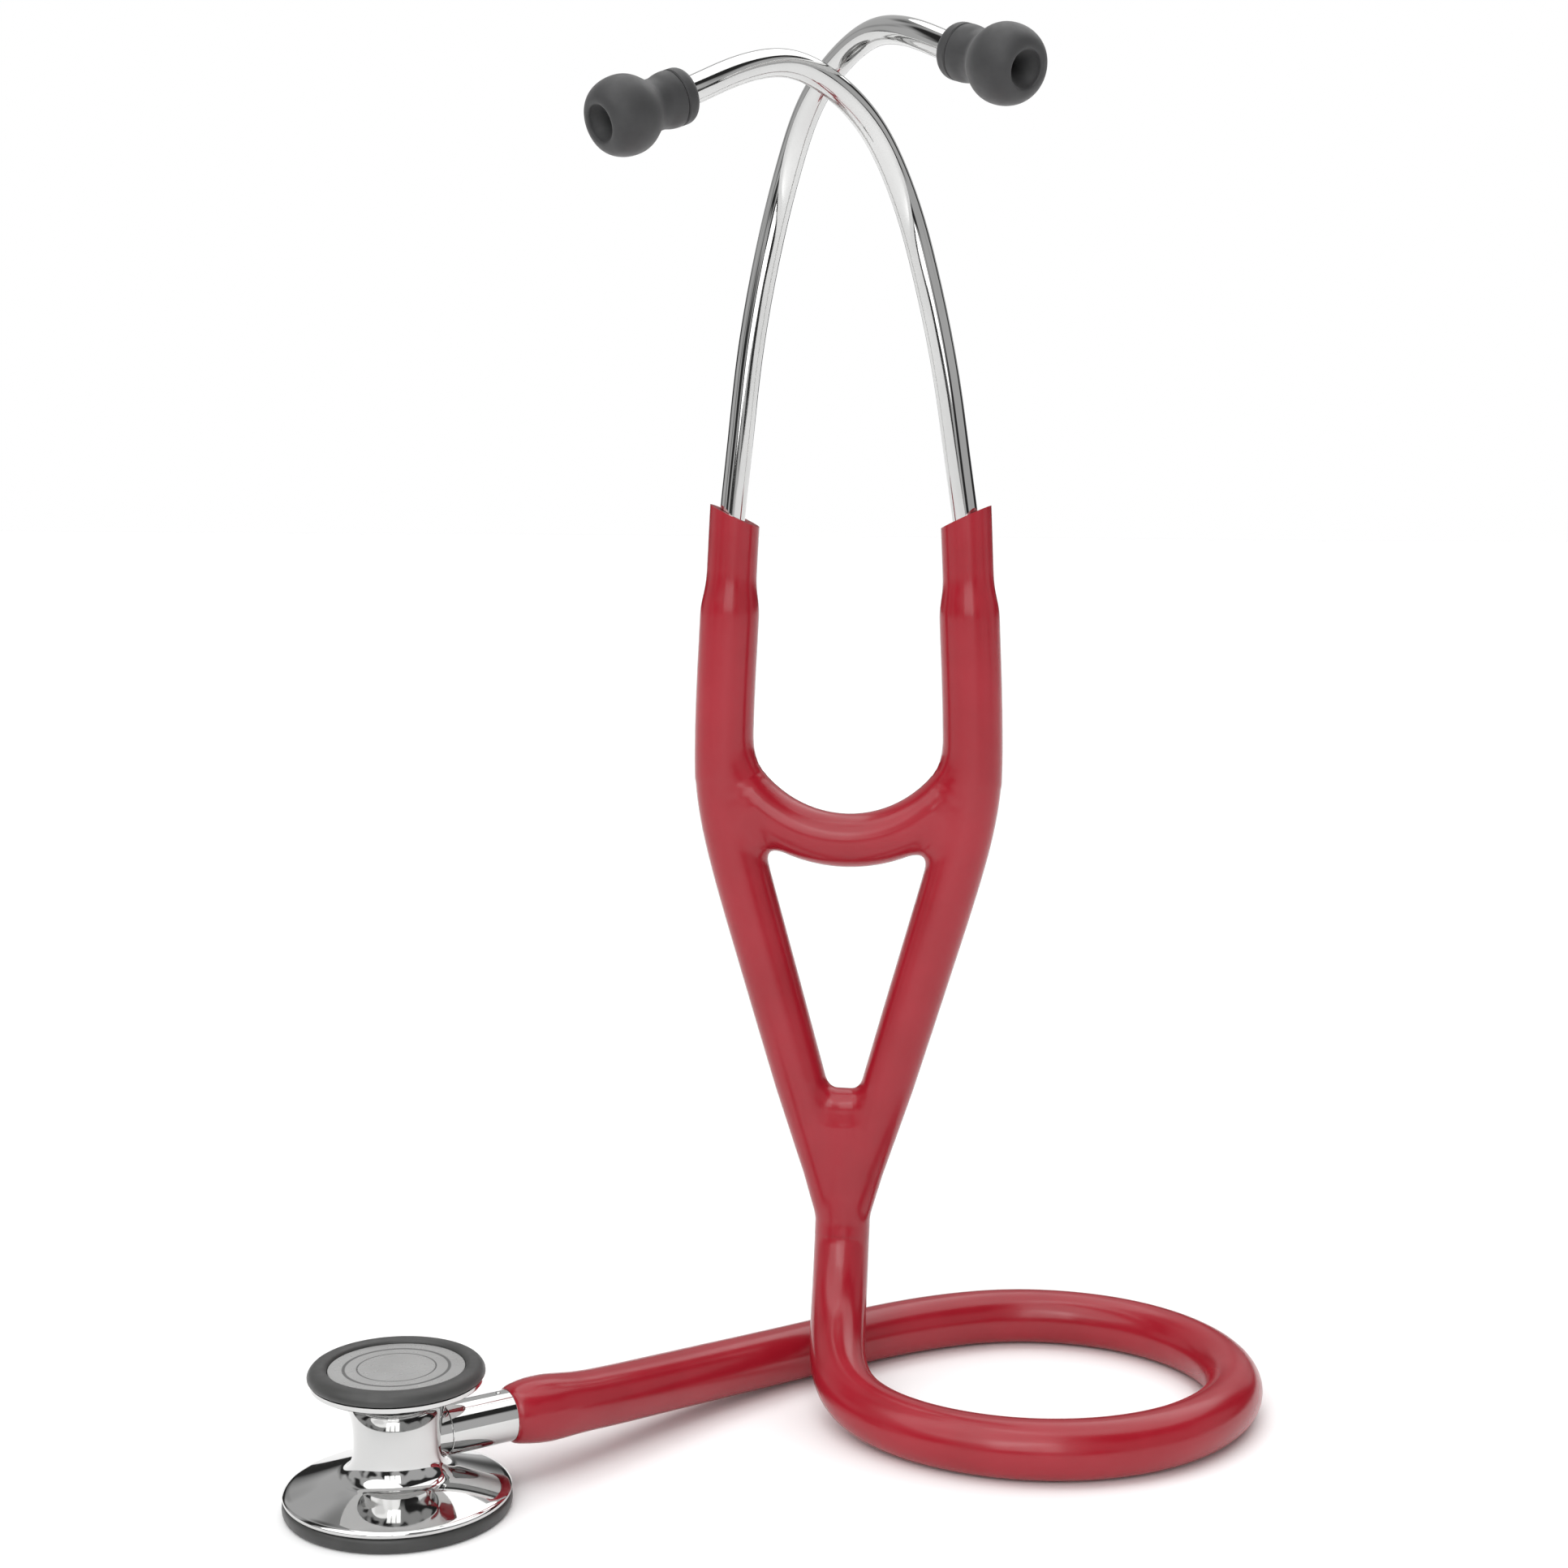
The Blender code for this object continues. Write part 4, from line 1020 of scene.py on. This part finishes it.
    def sleeves(self, material: bpy.types.Material) -> None:
        """Make the two sleeves that hold the ear tubes.

        Args:
            material: The moulding's material.
        """
        for side in Side:
            rise = [(self.shoulder, 0.0), (self.shoulder, self.sleeve_start - self.sleeve_seam)]
            step = bezier(
                (self.shoulder, self.sleeve_start - self.sleeve_seam),
                (self.shoulder, self.sleeve_start - self.sleeve_seam + 4.0),
                (self.sleeve, self.sleeve_full - self.sleeve_seam - 5.0),
                (self.sleeve, self.sleeve_full - self.sleeve_seam), 12,
            )
            top = self.mouth - self.sleeve_seam + 6.0
            outline = [(0.0, 0.0), *rise, *step[1:], (self.sleeve, top), (0.0, top)]
            shape = lathe(outline, 64)
            slant = math.radians(self.mouth_slant)
            normal = Vector((-side.value * math.sin(slant), 0.0, math.cos(slant)))
            bmesh.ops.remove_doubles(shape, verts=shape.verts, dist=1e-7)
            bmesh.ops.bisect_plane(
                shape, geom=shape.verts[:] + shape.edges[:] + shape.faces[:], dist=1e-7,
                plane_co=(0.0, 0.0, (self.mouth - self.sleeve_seam) * MM), plane_no=normal,
                clear_outer=True,
            )
            rim = [edge for edge in shape.edges if edge.is_boundary]
            cap = bmesh.ops.contextual_create(shape, geom=rim)["faces"]
            bmesh.ops.recalc_face_normals(shape, faces=shape.faces)
            self.open_mouth(shape, cap)
            piece = finished(side.word + "_sleeve", shape, material, self.arm_axis(side), 40.0)
            settle(piece, side.body, VINYL.slot)

    @staticmethod
    def open_mouth(shape: bmesh.types.BMesh, cap: list[bmesh.types.BMFace]) -> None:
        """Round the edge of a sleeve's mouth and sink a well round the tube.

        Args:
            shape: The sleeve.
            cap: The flat face at its mouth.
        """
        lip, wall, well = (0.22, 0.0), (1.62, 0.0), (0.05, -3.0)
        for thickness, depth in (lip, (0.16, 0.0), wall, (0.22, -0.25), well):
            bmesh.ops.inset_region(
                shape, faces=cap, thickness=thickness * MM, depth=depth * MM,
                use_even_offset=True, use_boundary=True,
            )


# -------------------------------------------------------------------- ear tubes
@dataclass
class EarTube:
    """One bent steel tube with its base ring and soft tip."""

    side: Side
    seat_height: float
    seat_angles: tuple[float, float, float]
    radius: float = 2.8
    seat_offset: float = 26.15
    azimuth: float = 44.0
    drop: float = 19.0
    ring_length: float = 3.2
    ring_radius: float = 5.5
    cuff: float = 5.5
    waist: float = 5.0
    bulb: float = 7.65
    tip_length: float = 17.8
    mouth: float = 3.6
    channel: float = 1.6
    line: tuple[Point, ...] = (
        (-0.9, 0.0, -18.0), (0.0, 0.0, 0.0), (1.9, 0.0, 19.0), (3.9, 0.0, 38.0),
        (7.1, 0.0, 56.8), (11.5, 0.6, 75.2), (18.5, 8.8, 91.1), (30.2, 20.2, 100.2),
        (39.9, 34.0, 97.9), (50.1, 46.0, 91.4),
    )

    def path(self) -> tuple[list[Vector], Vector, Vector]:
        """Centre line of the tube, the collar of its tip and the tip's direction.

        Returns:
            Path points, collar point and direction, in the part's frame.
        """
        sign = self.side.value
        tilt = [math.radians(angle) for angle in self.seat_angles]
        seat = (
            PLACES.headset_frame
            @ Matrix.Translation((sign * self.seat_offset * MM, 0.0, self.seat_height * MM))
            @ Matrix.Rotation(tilt[2], 4, "Z") @ Matrix.Rotation(tilt[0], 4, "X")
            @ Matrix.Rotation(tilt[1], 4, "Y")
        )
        line = [Vector((-sign * inward, -forward, up)) * MM for inward, forward, up in self.line]
        azimuth = math.radians(self.azimuth)
        drop = math.radians(self.drop)
        aim = Vector((
            -sign * math.cos(drop) * math.cos(azimuth), -math.cos(drop) * math.sin(azimuth),
            -math.sin(drop),
        ))
        line.append(line[-1] + aim * 6.0 * MM)
        route = smooth_route([seat @ point for point in line], 1.2 * MM)
        return eased(route, 30), seat @ line[-2], (seat.to_3x3() @ aim).normalized()

    def build(self, steel: bpy.types.Material, rubber: bpy.types.Material) -> None:
        """Make the tube, the base ring and the tip.

        Args:
            steel: Material of the tube.
            rubber: Material of the ring and the tip.
        """
        points, collar, aim = self.path()
        shape = sweep(points, [self.radius * MM] * len(points), 40)
        tube = finished(self.side.word + "_tube", shape, steel)
        settle(tube, self.side.body, STEEL.slot, self.side.word + "_eartube")
        placing = Matrix.Translation(collar) @ aim.to_track_quat("Z", "Y").to_matrix().to_4x4()
        ring = finished(
            self.side.word + "_tip_ring", lathe(self.ring_outline(), 72), rubber, placing,
        )
        settle(ring, self.side.body, TIP_RUBBER.slot, self.side.word + "_eartip_ring")
        tip = finished(
            self.side.word + "_soft_tip", lathe(self.tip_outline(), 96), rubber, placing,
        )
        settle(tip, self.side.body, TIP_RUBBER.slot, self.side.word + "_eartip")

    def ring_outline(self) -> list[tuple[float, float]]:
        """Cross-section of the base ring, rounded towards the tube.

        Returns:
            Points of (radius, height).
        """
        hole = self.radius + 0.05
        shoulder = bezier(
            (self.ring_radius - 1.9, 0.0), (self.ring_radius - 0.6, 0.1),
            (self.ring_radius, 0.9), (self.ring_radius, 1.9), 8,
        )
        end = self.ring_length
        return [
            (hole, 0.15), (hole + 0.2, 0.0), *shoulder, (self.ring_radius, end - 0.25),
            (self.ring_radius - 0.25, end), (hole, end),
        ]

    def tip_outline(self) -> list[tuple[float, float]]:
        """Cross-section of the soft tip: cuff, waist, bulb and funnel.

        Returns:
            Points of (radius, height).
        """
        start = self.ring_length + 0.12
        end = start + self.tip_length
        bulb = start + 11.8
        pocket = self.ring_length + 6.6
        hole = self.radius + 0.3
        cuff = bezier(
            (self.cuff, start + 0.3), (self.cuff, start + 3.2),
            (self.waist - 0.2, start + 2.6), (self.waist, start + 5.2), 12,
        )
        swell = bezier(
            (self.waist, start + 5.2), (self.waist + 0.4, start + 7.2),
            (self.bulb, start + 8.2), (self.bulb, bulb), 16,
        )
        crown = bezier(
            (self.bulb, bulb), (self.bulb, bulb + 3.2), (self.mouth + 2.6, end - 0.3),
            (self.mouth + 0.7, end), 16,
        )
        lip = bezier(
            (self.mouth + 0.7, end), (self.mouth + 0.25, end + 0.02),
            (self.mouth, end - 0.1), (self.mouth, end - 0.5), 5,
        )
        funnel = bezier(
            (self.mouth, end - 0.5), (self.mouth - 0.3, end - 1.8),
            (self.channel, end - 3.0), (self.channel, end - 6.5), 10,
        )
        return [
            (hole, start), (self.cuff - 0.3, start), *cuff, *swell[1:], *crown[1:], *lip[1:],
            *funnel[1:], (self.channel, pocket), (hole, pocket),
        ]


# ------------------------------------------------------------------------ hose
@dataclass
class Hose:
    """Smooth hose from the stem to the yoke, swollen where it covers the stem."""

    radius: float = 6.1
    top: float = 36.0
    lean: float = 12.0
    straight: float = 6.0
    stem_end: float = 23.9
    length: float = 0.372
    route: tuple[Point, ...] = (
        (-19.1, -8.7, 12.6), (-10.1, 1.0, 11.1), (-0.5, 12.3, 9.4), (9.6, 23.3, 7.9),
        (20.9, 34.0, 6.8), (33.4, 44.3, 6.2), (46.9, 54.0, 6.1), (60.9, 61.4, 6.1),
        (75.9, 65.9, 6.1), (90.9, 65.1, 6.1), (105.4, 59.0, 6.1), (116.6, 47.8, 6.1),
        (122.5, 33.2, 6.1), (122.3, 17.7, 6.1), (116.0, 4.2, 6.1), (104.4, -7.5, 6.1),
        (89.9, -13.9, 6.1), (74.4, -15.0, 6.1), (60.9, -11.3, 6.1), (51.0, -5.4, 6.2),
        (43.9, 1.1, 6.7), (39.0, 7.8, 7.7), (36.6, 15.3, 9.7), (36.3, 23.8, 12.7),
        (36.7, 31.4, 17.6), (37.2, 37.1, 24.0),
    )
    swell: tuple[tuple[float, float], ...] = (
        (0.0, 5.25), (0.25, 5.50), (0.8, 5.80), (2.0, 6.12), (4.0, 6.45), (6.5, 6.66),
        (9.0, 6.70), (12.0, 6.52), (15.5, 6.25), (20.0, 6.10),
    )

    def points(self) -> list[Vector]:
        """Closely spaced centre line from the stem up into the yoke.

        Returns:
            The points, in metres.
        """
        lift = Vector((0.0, 0.0, PLACES.stem_height * MM))
        start = PLACES.chest + lift + PLACES.along * self.stem_end * MM
        end = Vector((PLACES.headset.x, PLACES.headset.y, self.top * MM))
        lean = math.radians(self.lean)
        turn = Matrix.Rotation(PLACES.headset_yaw, 3, "Z")
        upward = turn @ Vector((0.0, math.sin(lean), math.cos(lean)))
        route = [start, start + PLACES.along * self.straight * MM]
        route += [Vector(point) * MM for point in self.route]
        route += [end - upward * self.straight * MM, end]
        return eased(smooth_route(route, 1.5 * MM), 30, held=4)

    def build(self, material: bpy.types.Material) -> None:
        """Args:
            material: Material of the hose.
        """
        points = self.points()
        fine = [points[0].lerp(points[1], part / 5) for part in range(5)] + points[1:]
        along = [0.0]
        for first, second in zip(fine, fine[1:]):
            along.append(along[-1] + (second - first).length / MM)
        places = [place for place, _ in self.swell]
        sizes = [size for _, size in self.swell]
        curve = bpy.data.curves.new("hose", "CURVE")
        curve.dimensions = "3D"
        curve.bevel_depth = self.radius * MM
        curve.bevel_resolution = 14
        curve.use_fill_caps = True
        spline = curve.splines.new("POLY")
        spline.points.add(len(fine) - 1)
        for slot, point, place in zip(spline.points, fine, along):
            slot.co = (*point, 1.0)
            slot.radius = float(np.interp(place, places, sizes)) / self.radius
        spline.use_smooth = True
        curve.materials.append(material)
        hose = bpy.data.objects.new("hose", curve)
        bpy.context.scene.collection.objects.link(hose)
        settle(hose, Body.BASE, VINYL.slot, "acoustic_hose")
        log.info("hose length %.1f mm", along[-1])


# ---------------------------------------------------------------------- studio
@dataclass
class Studio:
    """Camera, floor, soft lights and a bright world."""

    eye: Point = (0.0239, -0.4658, 0.1901)
    pitch: float = 6.24
    roll: float = 0.40
    lens: float = 53.31
    sensor: float = 36.0
    aim: Point = (0.02, 0.0, 0.13)
    floor_size: float = 60.0
    pane_size: tuple[float, float] = (0.27, 0.85)
    pane_step: float = 0.30
    pane_power: float = 2.0
    sun_angle: float = 65.0
    sun_power: float = 1.55
    room_patches: float = 1.9
    room_edge: tuple[float, float] = (0.43, 0.54)
    room_light: tuple[float, float] = (0.03, 0.56)

    def camera(self) -> None:
        """Place the camera."""
        data = bpy.data.cameras.new("camera")
        data.lens = self.lens
        data.sensor_width = self.sensor
        data.clip_start = 0.01
        camera = bpy.data.objects.new("camera", data)
        bpy.context.scene.collection.objects.link(camera)
        camera.matrix_world = (
            Matrix.Translation(self.eye)
            @ Matrix.Rotation(math.radians(90.0 - self.pitch), 4, "X")
            @ Matrix.Rotation(math.radians(self.roll), 4, "Z")
        )
        bpy.context.scene.camera = camera
        bpy.context.scene.view_settings.view_transform = "Standard"

    def floor(self) -> None:
        """Lay a wide plain pale floor."""
        shape = bmesh.new()
        bmesh.ops.create_grid(shape, x_segments=1, y_segments=1, size=self.floor_size)
        nodes = Nodes("pale_floor")
        nodes.shader.inputs["Base Color"].default_value = (0.95, 0.95, 0.95, 1.0)
        nodes.shader.inputs["Roughness"].default_value = 0.9
        nodes.shader.inputs["Specular IOR Level"].default_value = 0.1
        piece = finished("floor", shape, nodes.material)

    def lights(self) -> None:
        """Hang a window of three panes behind the camera, and two wide soft suns."""
        for index in range(3):
            data = bpy.data.lights.new(f"pane_{index}", "AREA")
            data.shape = "RECTANGLE"
            data.size, data.size_y = self.pane_size
            data.energy = self.pane_power
            self.hang(data, (-0.42 + self.pane_step * index, -1.30, 0.72))
        for name, place in (("front_sun", (-0.5, -0.6, 1.3)), ("top_sun", (0.4, 0.5, 1.6))):
            data = bpy.data.lights.new(name, "SUN")
            data.angle = math.radians(self.sun_angle)
            data.energy = self.sun_power
            self.hang(data, place)

    def hang(self, data: bpy.types.Light, place: Point) -> None:
        """Put a light at a place and aim it at the object.

        Args:
            data: The light.
            place: Where it hangs, in metres.
        """
        light = bpy.data.objects.new(data.name, data)
        bpy.context.scene.collection.objects.link(light)
        light.location = place
        aim = Vector(self.aim) - Vector(place)
        light.rotation_euler = aim.to_track_quat("-Z", "Y").to_euler()

    def world(self) -> None:
        """Surround the object with a room of light and darker patches.

        The backdrop itself is plain white from every side.
        """
        world = bpy.data.worlds.new("room")
        bpy.context.scene.world = world
        world.use_nodes = True
        tree = world.node_tree
        background = tree.nodes["Background"]
        place = tree.nodes.new("ShaderNodeTexCoord")
        patches = tree.nodes.new("ShaderNodeTexNoise")
        patches.inputs["Scale"].default_value = self.room_patches
        patches.inputs["Detail"].default_value = 1.0
        spread = tree.nodes.new("ShaderNodeMapRange")
        for name, values in (("From", self.room_edge), ("To", self.room_light)):
            for end, value in zip(("Min", "Max"), values):
                spread.inputs[f"{name} {end}"].default_value = value
        ray = tree.nodes.new("ShaderNodeLightPath")
        mix = tree.nodes.new("ShaderNodeMix")
        mix.data_type = "FLOAT"
        mix.inputs[3].default_value = 1.0
        tree.links.new(place.outputs["Generated"], patches.inputs["Vector"])
        tree.links.new(patches.outputs["Fac"], spread.inputs["Value"])
        tree.links.new(spread.outputs["Result"], mix.inputs[2])
        tree.links.new(ray.outputs["Is Camera Ray"], mix.inputs[0])
        tree.links.new(mix.outputs[0], background.inputs["Strength"])
        background.inputs["Color"].default_value = (1.0, 1.0, 1.0, 1.0)

    def build(self) -> None:
        """Set up the whole studio."""
        self.camera()
        self.floor()
        self.lights()
        self.world()


def dress_inner_nodes(spring: bpy.types.Material, seal: bpy.types.Material) -> None:
    """Give the CAD pieces that stay their finer materials.

    Args:
        spring: Material of the spring and the small steel fittings.
        seal: Material of the seal ring.
    """
    for node, piece in frame["nodes"].items():
        if piece.hide_render:
            continue
        material = seal if node == "stem_seal" else spring
        piece.data.materials.clear()
        piece.data.materials.append(material)
        log.info("%s keeps its CAD shape", node)


def main() -> None:
    """Build the studio and every visible piece."""
    Studio().build()
    vinyl = VINYL.make()
    steel = STEEL.make()
    rim = RIM.make()
    rubber = TIP_RUBBER.make()
    Hose().build(vinyl)
    chestpiece = Chestpiece()
    chestpiece.build(steel, rim)
    chestpiece.discs(ADULT_FILM.make(), CHILD_FILM.make())
    headset = Headset()
    headset.skin(vinyl)
    headset.sleeves(vinyl)
    for tube in (
        EarTube(Side.LEFT, 190.3, (-1.0, 0.0, 2.5)),
        EarTube(Side.RIGHT, 185.7, (1.0, -2.5, 2.7)),
    ):
        tube.build(steel, rubber)
    dress_inner_nodes(SPRING.make(), SEAL.make())


if __name__ == "__main__":
    main()
